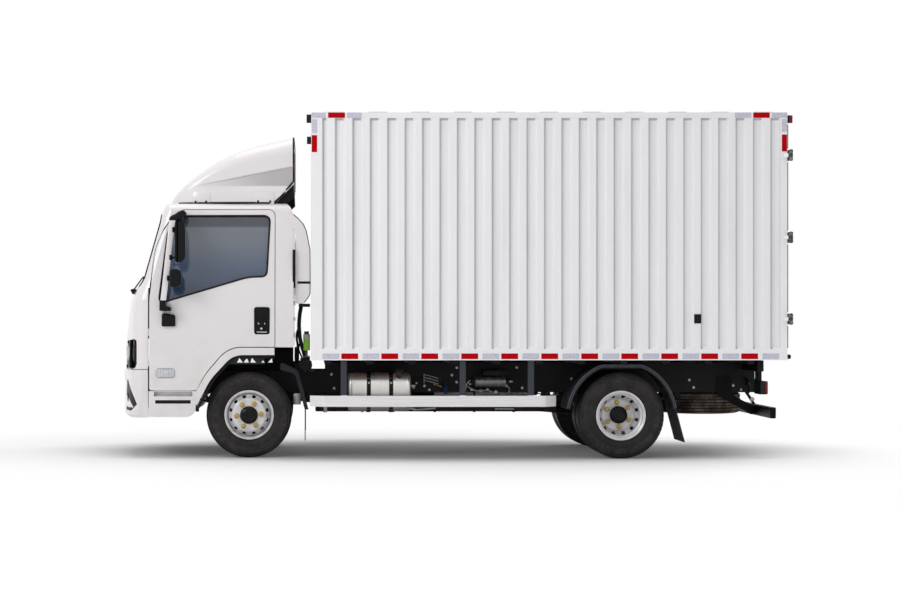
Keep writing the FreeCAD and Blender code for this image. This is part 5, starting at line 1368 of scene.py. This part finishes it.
done(pipes + fittings, "air_pipes", "chassis", zinc)
yellow_rod = tube([(0.14, 0.41, 0.652), (0.11, 0.412, 0.644), (0.078, 0.404, 0.634)], 0.0055)
done([yellow_rod, drum((0.078, 0.404, 0.634), (0.064, 0.402, 0.63), 0.009, 8)], "brass_union", "chassis", gold_zinc)

blue_cast = Finish("blue_cast", "cast", Roughness=0.5, Specular_IOR_Level=0.2)
blotches = blue_cast.noise(26, 4)
blue_cast.set(Base_Color=blue_cast.mix(blotches.smooth(0.4, 0.7), "#0e1e38", "#223e68"))
blue_cast.bump(blotches, 0.3, 0.002)
valve_body = [block((0.004, 0.376, 0.575), (0.05, 0.425, 0.64), 0.008),
              drum((0.027, 0.4, 0.635), (0.027, 0.4, 0.668), 0.017, 14, 0.003),
              drum((0.027, 0.4, 0.56), (0.027, 0.4, 0.58), 0.013, 12, 0.002),
              drum((0.027, 0.42, 0.605), (0.027, 0.442, 0.605), 0.012, 10, 0.002)]
done(valve_body, "relay_valve", "chassis", blue_cast)

dryer_parts = [block((-0.535, 0.47, 0.738), (-0.305, 0.585, 0.786), 0.008),
               block((-0.5, 0.4, 0.745), (-0.34, 0.474, 0.765), 0.004)]
dryer_parts += [block((-0.52 + 0.046 * k, 0.583, 0.742), (-0.508 + 0.046 * k, 0.59, 0.782), 0.003) for k in range(5)]
dryer_parts += [drum((-0.232, 0.56, 0.682), (-0.205, 0.56, 0.682), 0.03, 16, 0.004),
                drum((-0.518, 0.56, 0.682), (-0.545, 0.56, 0.682), 0.026, 16, 0.004)]
done(dryer_parts, "dryer_housing", "chassis", cast_iron)

battery_finish = Finish("battery_finish", "black_plastic", Specular_IOR_Level=0.16)
x, y, z = battery_finish.axes()
dryer_area = (y > 0.5) * (x < -0.2) * (z > 0.6) * (x > -0.52)
tank_area = (y < -0.42) * (x < 0.01)
scuffs = battery_finish.noise(24, 4)
plain = battery_finish.mix(scuffs.smooth(0.5, 0.8) * 0.4, "#0f1012", "#3e3c3a")
dryer_metal = battery_finish.mix(scuffs, "#545458", "#a8a8ac")
battery_finish.set(Base_Color=battery_finish.mix((dryer_area + tank_area * 0.18).clamp(), plain, dryer_metal),
                   Metallic=dryer_area * 0.8, Roughness=scuffs * 0.2 + 0.3)
battery_finish.bump(scuffs, 0.15, 0.001)
dress("battery_box", battery_finish)

# %% Pipe tray under the left rail
tray = [block((x0, 0.268, 0.392), (x1, 0.308, 0.438), 0.01)
        for x0, x1 in ((0.52, 1.24), (-0.24, 0.5), (-1.02, -0.26))]
tray += [block((x - 0.012, 0.262, 0.386), (x + 0.012, 0.314, 0.446), 0.004)
         for x in (1.15, 0.8, 0.51, 0.12, -0.25, -0.62, -0.95)]
tray += [block((x - 0.01, 0.304, 0.43), (x + 0.01, 0.312, 0.582), 0.002) for x in (1.15, 0.51, -0.25, -0.95)]
done(tray, "pipe_tray", "chassis", cast_iron)
pale = [drum((0.115, 0.335, 0.425), (0.31, 0.335, 0.41), 0.012, 12),
        drum((0.3, 0.335, 0.41), (0.36, 0.335, 0.43), 0.016, 12),
        block((1.13, 0.313, 0.384), (1.165, 0.322, 0.455), 0.003),
        drum((-0.62, 0.328, 0.418), (-0.44, 0.328, 0.418), 0.011, 12),
        drum((0.62, 0.328, 0.42), (0.85, 0.328, 0.42), 0.011, 12)]
done(pale, "tray_pipes", "chassis", zinc)

# %% Tank with rounded ends
TANK = [(0.547, 0.417, 0.088), (0.913, 0.417, 0.128), (0.913, 0.768, 0.128), (0.547, 0.768, 0.088)]
section = [(p.x, p.y) for p in smooth_outline(TANK, 5)]
tank = [rounded(plate([(0.3735, y, z) for y, z in section], (0.569, 0, 0)), 0.034, 5, 60)]
tank += [bead([(x, y, z) for y, z in section], 0.0035) for x in (0.41, 0.906)]
tank += [drum((0.48, 0.855, 0.708), (0.48, 0.932, 0.78), 0.029, 24),
         drum((0.48, 0.922, 0.772), (0.48, 0.948, 0.797), 0.037, 14, 0.005)]
done(tank, "round_tank", "chassis", tank_finish, node="fuel_tank")
print("frame fittings ready")

# %% [markdown]
# ## Mudguards, tail lamps and the rear end
# The rear guards have a moulded lip on both edges, a lighter grey as a painted highlight. Behind the frame a black
# beam carries the tail lamps, and short stays with a bright bolt brace the underrun bar.

# %% Mudguard lips
# Painted highlight: the lips are a lighter grey than the black guard.
lip_with_painted_highlight = black("lip_with_painted_highlight", "#545862", "#6e6a66", 0.4, 300, 0.2, "guard_grey")


def arch_bead(radius, y, size):
    """A lip along the rear mudguard at a radius, flat on top like the guard itself."""
    points = []
    for k in range(33):
        a = math.radians(8) + math.radians(164) * k / 32
        points.append((REAR_WHEEL[0] + radius * math.cos(a), y,
                       min(REAR_WHEEL[2] + radius * math.sin(a), 0.848 - (0.496 - radius))))
    return bead(points, size, False)


both_sides([arch_bead(0.4935, 1.015, 0.005), arch_bead(0.478, 1.0165, 0.0038)], "guard_lips", "chassis", lip_with_painted_highlight)
ridges = [arch_bead(0.4965, y, 0.0035) for y in (0.6, 0.72, 0.84, 0.95)]
both_sides(ridges, "guard_ridges", "chassis", fender_plastic)
edge_points = [[], []]
for k in range(33):
    angle = math.radians(7 + 166 * k / 32)
    for line, radius in zip(edge_points, (0.493, 0.461)):
        line.append((REAR_WHEEL[0] + radius * math.cos(angle), 1.0125,
                     min(REAR_WHEEL[2] + radius * math.sin(angle), 0.352 + radius)))
flange = plate(edge_points[0] + edge_points[1][::-1], (0, 0.004, 0))
both_sides(flange, "guard_flange", "chassis", trim_plastic)
flap_bolts = [drum((-2.002, y, 0.452), (-2.013, y, 0.452), 0.01, 6, 0.001) for y in (0.6, 0.78, 0.96)]
both_sides(flap_bolts, "flap_bolts", "chassis", zinc)

# %% Tail lamps, rear beam and stays
lamp_parts = [block((-2.8345, 0.772, 0.592), (-2.829, 0.868, 0.688), 0.004),
              block((-2.8345, 0.902, 0.592), (-2.829, 0.998, 0.688), 0.004)]
both_sides(lamp_parts, "tail_lens", "chassis", red_lens)
both_sides(block((-2.8345, 0.872, 0.592), (-2.829, 0.898, 0.688), 0.003), "reverse_lens", "chassis", clear_lens)
beam = [block((-2.8, -0.985, 0.786), (-2.742, 0.985, 0.886), 0.005),
        block((-2.852, -0.374, 0.78), (-2.79, 0.374, 0.884), 0.004)]
beam += [block((-2.79, y - 0.02, 0.7), (-2.76, y + 0.02, 0.8), 0.003) for y in (-0.93, -0.83, 0.83, 0.93)]
done(beam, "rear_beam", "chassis", frame_paint)

stay = [side_plate([(-2.74, 0.61), (-2.772, 0.61), (-2.862, 0.47), (-2.838, 0.462)], 0.39, 0.01, 0.002),
        drum((-2.79, 0.388, 0.7), (-2.79, 0.42, 0.64), 0.016, 12, 0.003),
        tube([(-2.76, 0.4, 0.68), (-2.8, 0.41, 0.66), (-2.82, 0.4, 0.6), (-2.8, 0.39, 0.57)], 0.007),
        tube([(-2.74, 0.41, 0.72), (-2.77, 0.44, 0.7), (-2.81, 0.6, 0.66), (-2.79, 0.76, 0.65)], 0.006)]
both_sides(stay, "bar_stays", "chassis", frame_paint)
both_sides(drum((-2.832, 0.399, 0.513), (-2.832, 0.412, 0.513), 0.02, 24, 0.003), "stay_bolt", "chassis", zinc)
stops = [block((-3.02, 1.048, 0.902), (-2.9835, 1.094, 0.942), 0.012, 4),
         block((-3.02, 0.1, 0.902), (-2.9835, 0.15, 0.942), 0.012, 4)]
both_sides(stops, "rubber_stops", "chassis", seal_rubber)

# %% Spare tyre
old_rubber = Finish("old_rubber", "tyre", Roughness=0.8, Specular_IOR_Level=0.15)
x, y, z = old_rubber.axes()
# Painted shade: the tread grooves are painted dark.
painted_groove_shade = (((z - 0.447) % 0.027) < 0.0075) * (old_rubber.far(x - SPARE[0], y) > 0.372)
stain = old_rubber.noise(11, 5)
worn_tread = old_rubber.mix(stain.smooth(0.35, 0.7), "#3e3732", "#7e7268")
old_rubber.set(Base_Color=old_rubber.mix(painted_groove_shade, worn_tread, "#141211"))
old_rubber.bump(stain - painted_groove_shade, 0.3, 0.002)
lying_tyre = moved(tyre(), shift(*SPARE) @ turned(math.pi / 2, "X"))
done(lying_tyre, "tread_spare", "chassis", old_rubber, node="spare_tyre")
print("rear end ready")

# %% [markdown]
# ## Ribbed walls
# The side walls are sheets pressed into upright ribs. The CAD wall fixes the size, depth and pitch. The
# dressed wall starts with a recess behind the front post, as in the photograph, and closes each recess
# with a slope at its top and bottom, as a press leaves it.

# %% Pressed side walls
WALL_Y, WALL_DEEP, WALL_BACK = 1.098, 0.028, 0.036
WALL_LOW, WALL_HIGH, SLOPE = 0.991, 3.06, 0.024
RIB_PITCH, FIRST_CREST, CREST, RIB_SLANT = 0.156, 1.1335, 0.0744, 0.016


def wall_plan():
    """(x, is deep) along the wall from front to back."""
    points = [(1.1788, True)]
    for k in range(26):
        front = FIRST_CREST - RIB_PITCH * k
        points += [(front + RIB_SLANT / 2, True), (front - RIB_SLANT / 2, False),
                   (front - CREST + RIB_SLANT / 2, False), (front - CREST - RIB_SLANT / 2, True)]
    return points + [(-2.9238, True)]


def pressed_wall():
    """The plan drawn as a closed outline, filled and raised in three steps, with its end levels pulled flat."""
    plan = wall_plan()
    line = [(x, WALL_Y - WALL_DEEP * deep, WALL_LOW) for x, deep in plan]
    line += [(plan[-1][0], WALL_Y - WALL_BACK, WALL_LOW), (plan[0][0], WALL_Y - WALL_BACK, WALL_LOW)]
    heights = (SLOPE, WALL_HIGH - WALL_LOW - 2 * SLOPE, SLOPE)
    wall = edited(drawn(line), bpy.ops.mesh.edge_face_add, *[pushed(0, 0, h) for h in heights])
    for corner in wall.data.vertices:
        at_end = min(corner.co.z - WALL_LOW, WALL_HIGH - corner.co.z) < 0.001
        if at_end and corner.co.y > WALL_Y - WALL_BACK + 0.004:
            corner.co.y = WALL_Y
    return edited(wall, lambda: bpy.ops.mesh.normals_make_consistent(inside=False))


wall_paint = box_white("wall_paint", 0.25, 0.2, 0.4, 0.1)
x, _, z = wall_paint.axes()
along_rib = (FIRST_CREST - CREST + 0.012 - x) % RIB_PITCH
# Painted shade: a dark line on the shaded wall of each recess, darker recess tops under the top rail and a darker
# wall behind the front post, mixed with real rain streaks.
painted_rib_shade = along_rib.smooth(0, 0.006) * along_rib.smooth(0.026, 0.016)
washed = streaks(wall_paint, 0.12)
ends = z.smooth(3.036, 3.046) * along_rib.smooth(0.01, 0.02) * along_rib.smooth(0.085, 0.078)
grey = (painted_rib_shade * 0.75 + washed + ends * 0.9 + x.smooth(1.158, 1.172) * 0.9).clamp()
wall_paint.set(Base_Color=wall_paint.mix(grey, BOX_WHITE, "#b0b1b6"), Roughness=washed + 0.38)
both_sides(pressed_wall(), "pressed_wall", "chassis", wall_paint, angle=20, node="box_wall_left")

# %% [markdown]
# ## Small things on the box
# Rivets hold the wall to its rails, a blank black plate sits on the left wall, and the rear doors have
# rubber seals, tape and steel hinges.

# %% Rivets, plate, seals and rear tape
rivet = drum((0, 1.0995, 0), (0, 1.103, 0), 0.0055, 8, 0.0008, 0.004)
rivets = [copied(rivet, shift(x=FIRST_CREST - CREST / 2 - RIB_PITCH * k, z=0.97)) for k in range(26)]
bpy.data.objects.remove(rivet)
both_sides(rivets, "wall_rivets", "chassis", box_paint)
wall_plate = [block((-2.213, 1.0985, 1.22), (-2.148, 1.105, 1.304), 0.004),
              block((-2.206, 1.1045, 1.286), (-2.155, 1.1075, 1.298), 0.002)]
wall_plate += [block((-2.202 + 0.024 * k, 1.1045, 1.228), (-2.184 + 0.024 * k, 1.107, 1.246), 0.002)
               for k in range(2)]
done(wall_plate, "wall_plate", "chassis", trim_plastic)

LEAF = [(0.012, 1.003, 0.02), (1.06, 1.003, 0.02), (1.06, 2.998, 0.02), (0.012, 2.998, 0.02)]
seal_loop = bead([(-2.9835, p.x, p.y) for p in smooth_outline(LEAF, 4)], 0.0055)
both_sides(seal_loop, "leaf_seal", "box_door_left", seal_rubber)
edge_strip = block((-2.9925, 1.074, 1), (-2.9838, 1.0985, 3), 0.003)
for z in (1.26, 1.99, 2.725):
    gap_block = block((-3.03, 1.05, z - 0.062), (-2.95, 1.15, z + 0.062))
    modified(edge_strip, "BOOLEAN", operation="DIFFERENCE", object=gap_block)
    bpy.data.objects.remove(gap_block)
both_sides(edge_strip, "post_seal", "chassis", seal_rubber)


def rear_strips(places, height):
    """Strips of tape on the left rear leaf: (y0, y1, z0) each, of one height."""
    return joined([block((-2.9849, y0, z0), (-2.9835, y1, z0 + height), 0.0006, 1) for y0, y1, z0 in places])


both_sides(rear_strips([(0.2, 0.35, 1.008), (0.56, 0.71, 1.008), (0.92, 1.05, 1.008), (0.9, 1.05, 2.945)], 0.048),
           "rear_tape_red", "box_door_left", red_tape)
both_sides(rear_strips([(0.03, 0.18, 1.008), (0.38, 0.53, 1.008), (0.74, 0.89, 1.008), (0.73, 0.88, 2.945)], 0.048),
           "rear_tape_white", "box_door_left", white_tape)

leaf_finish = box_white("leaf_finish", 0.3, 0.15, 0.38, 0.1, 0)
x, y, _ = leaf_finish.axes()
strap = (x < -2.9845) * (y.math("ABSOLUTE") > 0.92)
worn = leaf_finish.noise(30, 4).smooth(0.4, 0.7)
leaf_finish.set(Base_Color=leaf_finish.mix(strap, leaf_finish.mix(worn * 0.1, BOX_WHITE, "#cecfd2"),
                                           leaf_finish.mix(worn, "#1e1f22", "#787a7e")),
                Roughness=worn * 0.15 + 0.3)
for leaf in pair("box_leaf"):
    dress(leaf, leaf_finish)

frame_mask = box_white("box_frame_finish", 0.3, 0.15, 0.38, 0.1, 0)
x, y, _ = frame_mask.axes()
knuckle = (y.math("ABSOLUTE") > 1.1015) * (x < -2.9845)
tone = frame_mask.noise(3, 4).smooth(0.4, 0.8)
frame_mask.set(Base_Color=frame_mask.mix(knuckle, frame_mask.mix(tone * 0.2, BOX_WHITE, BOX_GREY), "#1e1f22"),
               Roughness=tone * 0.1 + 0.34)
dress("box_frame", frame_mask)

# %% Underrun bar stripes, rear plate
stripes = Finish("underrun_finish", "chassis_black", Specular_IOR_Level=0.08)
x, y, z = stripes.axes()
scratch = stripes.noise(40, 4).smooth(0.5, 0.8)
sheet = stripes.mix(((y + z) % 0.2) < 0.1, "#e2e2e6", "#ce0814")
steel_part = stripes.mix(scratch * 0.3, "#090a0c", "#3c3632")
stripes.set(Base_Color=stripes.mix(x < -2.9045, steel_part, sheet), Roughness=scratch * 0.3 + 0.36)
stripes.bump(scratch, 0.2, 0.001)
dress("underrun_bar", stripes)
done(block((-2.808, -0.22, 0.66), (-2.802, 0.22, 0.774), 0.002), "rear_plate_blank", "chassis", box_paint)
plate_lamps = [block((-2.826, y - 0.022, 0.78), (-2.8, y + 0.022, 0.8), 0.005) for y in (-0.12, 0.12)]
done(plate_lamps, "rear_plate_lamps", "chassis", trim_plastic)
print("box dressed")

# %% [markdown]
# ## Seats
# Each seat is a foam cushion, a back and a head rest under woven cloth. The foam starts as a rounded
# block that is a little too small. Cloth simulation with inner pressure blows it up, so it crowns in the
# middle and pulls in between its corners, and then piping is laid round it.

# %% Foam pads
def swollen(piece, voxel, cap, sink):
    """Blows a closed form up like stuffed cloth, and holds each point within a distance of where it was."""
    modified(piece, "REMESH", mode="VOXEL", voxel_size=voxel)
    before = [corner.co.copy() for corner in piece.data.vertices]
    cloth = piece.modifiers.new("cloth", "CLOTH")
    cloth.settings.use_pressure = True
    cloth.settings.uniform_pressure_force = 4
    cloth.settings.effector_weights.gravity = 0
    for step in range(1, 21):
        scene.frame_set(step)
    alone(piece)
    bpy.ops.object.modifier_apply(modifier="cloth")
    scene.frame_set(1)
    for corner, start in zip(piece.data.vertices, before):
        move = corner.co - start
        if move.length > cap:
            move *= cap / move.length
        corner.co = start + move
        corner.co.z = max(corner.co.z, sink)
    return modified(piece, "SUBSURF", levels=1, render_levels=1)


SEATS = [(0.42, 0.23), (-0.115, 0.2), (-0.545, 0.2)]
WIDE = 0.213


def foam(outline, half, width):
    """A pad from a side outline of (x, z, radius) corners, a half width each way from Y = 0."""
    points = [(p.x, -half, p.y) for p in smooth_outline(outline, 4)]
    return rounded(plate(points, (0, half * 2, 0)), width, 3, 50)


cushion = foam([(1.68, 1.082, 0.03), (2.062, 1.082, 0.04), (2.068, 1.172, 0.05), (1.68, 1.15, 0.03)], WIDE - 0.018,
               0.024)
backrest = foam([(1.566, 1.18, 0.03), (1.64, 1.18, 0.04), (1.606, 1.585, 0.05), (1.528, 1.585, 0.04)], WIDE - 0.018,
                0.024)
headrest = foam([(1.522, 1.64, 0.03), (1.594, 1.64, 0.03), (1.586, 1.742, 0.04), (1.52, 1.742, 0.03)], 0.118, 0.024)
cushion = swollen(cushion, 0.011, 0.016, 1.072)
backrest = swollen(backrest, 0.011, 0.014, 1.168)
headrest = swollen(headrest, 0.009, 0.01, 1.628)


def clinging(pad, points, lift=0.0008):
    """Points moved onto the skin of a pad."""
    return [tuple(spot + normal * lift)
            for _, spot, normal, _ in (pad.closest_point_on_mesh(Vector(p)) for p in points)]


def ring_round(pad, x0, x1, z0, z1, half):
    """Piping round the upper or front edge of a pad."""
    path = [(x0, -half, z0), (x1, -half, z1), (x1, 0, z1), (x1, half, z1), (x0, half, z0), (x0, 0, z0)]
    dense = [tuple(Vector(a).lerp(Vector(b), k / 8)) for a, b in zip(path, path[1:] + path[:1]) for k in range(8)]
    return bead(clinging(pad, dense), 0.0038)


def line_across(pad, x, z, half):
    return bead(clinging(pad, [(x, -half + half * k / 8, z) for k in range(17)]), 0.0024, False)


pipings = [ring_round(cushion, 1.7, 2.075, 1.185, 1.2, WIDE), ring_round(backrest, 1.66, 1.625, 1.19, 1.6, WIDE)]
pipings += [line_across(cushion, x, 1.26, WIDE - 0.03) for x in (1.8, 1.9, 1.98)]
pipings += [line_across(backrest, 1.74, z, WIDE - 0.03) for z in (1.28, 1.38, 1.48)]
pipings += [drum((1.556, y, 1.57), (1.552, y, 1.66), 0.006, 12) for y in (-0.045, 0.045)]
piping = joined(pipings)
base = joined([block((1.665, -WIDE + 0.012, 1.046), (2.07, WIDE - 0.012, 1.078), 0.008),
               block((1.51, -WIDE + 0.03, 1.046), (1.55, WIDE - 0.03, 1.6), 0.01),
               drum((1.6, WIDE - 0.02, 1.135), (1.6, WIDE - 0.002, 1.135), 0.034, 24, 0.004)])

seat_finish = Finish("seat_finish", "seat", Roughness=0.9, Sheen_Weight=0.3)
x, y, z = seat_finish.axes()
threads = (((x + z) % 0.006) < 0.003) * 0.5 + ((y % 0.006) < 0.003) * 0.5
shares = [(y - centre).math("ABSOLUTE") / half for centre, half in SEATS]
side_part = shares[0].math("MINIMUM", shares[1]).math("MINIMUM", shares[2]) > 0.62
tone = threads * 0.5 + seat_finish.noise(40) * 0.5
panel = seat_finish.ramp(tone, (0.15, "#464950"), (0.8, "#767980"))
side_cloth = seat_finish.ramp(tone, (0.15, "#1c1d20"), (0.8, "#323438"))
seat_finish.set(Base_Color=seat_finish.mix(side_part, panel, side_cloth))
seat_finish.bump(threads, 0.3, 0.0008)


def placed(piece, centre, half):
    """A copy of a seat part, narrowed to a seat's half width and moved to its place."""
    return copied(piece, shift(0, centre, 0) @ Matrix.Scale(half / 0.23, 4, (0, 1, 0)))


seat_pieces = []
for index, (centre, half) in enumerate(SEATS, 1):
    for pad, name in ((cushion, "seat_cushion"), (backrest, "seat_back"), (headrest, "head_rest")):
        seat_pieces.append(done(placed(pad, centre, half), f"{name}_{index}", "cab", seat_finish, angle=60))
    seat_pieces.append(done(placed(piping, centre, half), f"seat_piping_{index}", "cab", seal_rubber))
    seat_pieces.append(done(placed(base, centre, half), f"seat_base_{index}", "cab", trim_plastic))
for piece in seat_pieces:
    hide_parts("seats")
for piece in (cushion, backrest, headrest, piping, base):
    bpy.data.objects.remove(piece)
print("seats ready")

# %% [markdown]
# ## Dash and controls
# Vents, dials, switches and the glove box lie on the dash. Pedals, levers, visors and door cards
# finish what shows through the glass and the open doors.

# %% On the dash
def on_dash(y, z, off=0):
    """The rearmost point of the dash at a Y and a Z, moved back a little."""
    place = landed(["dashboard"], (2.2, y, z), FORWARD)
    return place - FORWARD * off


def dash_block(y0, y1, z0, z1, thick, width=0.003):
    """A panel on the dash between two Y and two Z values, leaning as the dash does."""
    low, high = on_dash((y0 + y1) / 2, z0), on_dash((y0 + y1) / 2, z1)
    corners = [(low.x - thick, z0), (low.x + 0.01, z0), (high.x + 0.01, z1), (high.x - thick, z1)]
    return side_plate(corners, y0, y1 - y0, width)


dash_parts = [dash_block(0.285, 0.555, 1.402, 1.462, 0.006), dash_block(-0.02, 0.17, 1.225, 1.372, 0.008)]
for y0 in (0.015, 0.085, -0.36, -0.62, 0.64):
    dash_parts += [dash_block(y0, y0 + 0.06, 1.318 + 0.01 * k, 1.322 + 0.01 * k, 0.013, 0.001) for k in range(4)]
dash_parts += [dash_block(-0.7, -0.28, 1.292, 1.296, 0.007, 0.001),
               dash_block(-0.7, -0.28, 1.205, 1.209, 0.007, 0.001),
               dash_block(-0.52, -0.46, 1.282, 1.29, 0.012, 0.002)]
dash_parts += [dash_block(0.038 * k, 0.03 + 0.038 * k, 1.285, 1.3, 0.013, 0.002) for k in range(4)]
done(dash_parts, "dash_panels", "cab", gloss_black)
knobs = [drum(on_dash(y, z) + FORWARD * 0.004, on_dash(y, z, 0.026), 0.014, 20, 0.003)
         for y, z in ((0.01, 1.255), (0.075, 1.255), (0.14, 1.255))]
done(knobs, "dash_knobs", "cab", guard_metal)

dial = Finish("dial_face", "black_plastic", Roughness=0.1, Specular_IOR_Level=0.3)
_, y, z = dial.axes()
marks = None
for middle, radius in ((0.355, 0.026), (0.485, 0.026), (0.42, 0.014)):
    across, up = y - middle, z - 1.431
    share = dial.far(across, up) / radius
    ticks = (up.math("ARCTAN2", across) * 16).math("SINE")
    ring = share.smooth(0.72, 0.76) * share.smooth(0.96, 0.92) * ticks.smooth(0.2, 0.6)
    marks = ring if marks is None else marks.math("MAXIMUM", ring)
dial.set(Base_Color=dial.mix(marks, "#0a0b0d", "#dee2e6"))
dial.bump(marks, 0.1, 0.0004)
done(dash_block(0.295, 0.545, 1.405, 1.459, 0.0085, 0.001), "dials", "cab", dial)

# %% Pedals, levers, visors and door cards
controls = [block((2.88, y - 0.03, 0.925), (2.892, y + 0.03, 1), 0.004) for y in (0.37, 0.455)]
controls += [block((2.87, 0.52, 0.87), (2.882, 0.56, 1.01), 0.004)]
controls += [tube([(2.885, y, 0.99), (2.915, y, 1.08), (2.915, y, 1.16)], 0.007) for y in (0.37, 0.455, 0.54)]
controls += [tube([(2.2, 0.15, 1.048), (2.225, 0.15, 1.16), (2.235, 0.15, 1.29)], 0.008),
             drum((2.233, 0.15, 1.285), (2.24, 0.15, 1.33), 0.019, 20, 0.006),
             drum((2.2, 0.15, 1.046), (2.205, 0.15, 1.09), 0.05, 20, 0.004, 0.018)]
controls += [tube([(2.16, 0.06, 1.05), (2.1, 0.06, 1.09), (1.98, 0.06, 1.125)], 0.011)]
done(controls, "cab_controls", "cab", trim_plastic)
stalks = [tube([(2.415, 0.42 + s * 0.03, 1.315), (2.405, 0.42 + s * 0.09, 1.322), (2.398, 0.42 + s * 0.15, 1.33)],
               0.006) for s in (-1, 1)]
done(stalks, "column_stalks", "cab", trim_plastic)
visors = []
for y0, y1 in ((0.14, 0.62), (-0.62, -0.14)):
    roof = landed(["cab_shell"], (2.28, (y0 + y1) / 2, 1.9), UPWARD).z
    front_roof = landed(["cab_shell"], (2.4, (y0 + y1) / 2, 1.9), UPWARD).z
    corners = [(2.28, roof - 0.03), (2.4, front_roof - 0.03), (2.4, front_roof - 0.016), (2.28, roof - 0.016)]
    visors.append(side_plate(corners, y0, y1 - y0, 0.005))
    visors += [drum((2.39, y, front_roof - 0.024), (2.39, y, front_roof - 0.002), 0.008, 12)
               for y in (y0 + 0.05, y1 - 0.05)]
done(visors, "sun_visors", "cab", seat_side)

card_parts = []
for z0, z1, y_in in ((0.85, 1.34, 0), (1.18, 1.235, 0.03)):
    face = landed(["door_left"], (2.1, 0.2, (z0 + z1) / 2), SIDEWAYS).y
    card_parts.append(block((1.7 if y_in == 0 else 1.84, face - 0.012 - y_in, z0),
                            (2.48 if y_in == 0 else 2.3, face - 0.0004, z1), 0.006))
card_parts.append(drum((2.36, face - 0.03, 1.02), (2.36, face - 0.01, 1.02), 0.06, 28, 0.004))
both_sides(card_parts, "door_card", "cab_door_left", dash_plastic)
print("cab inside ready")
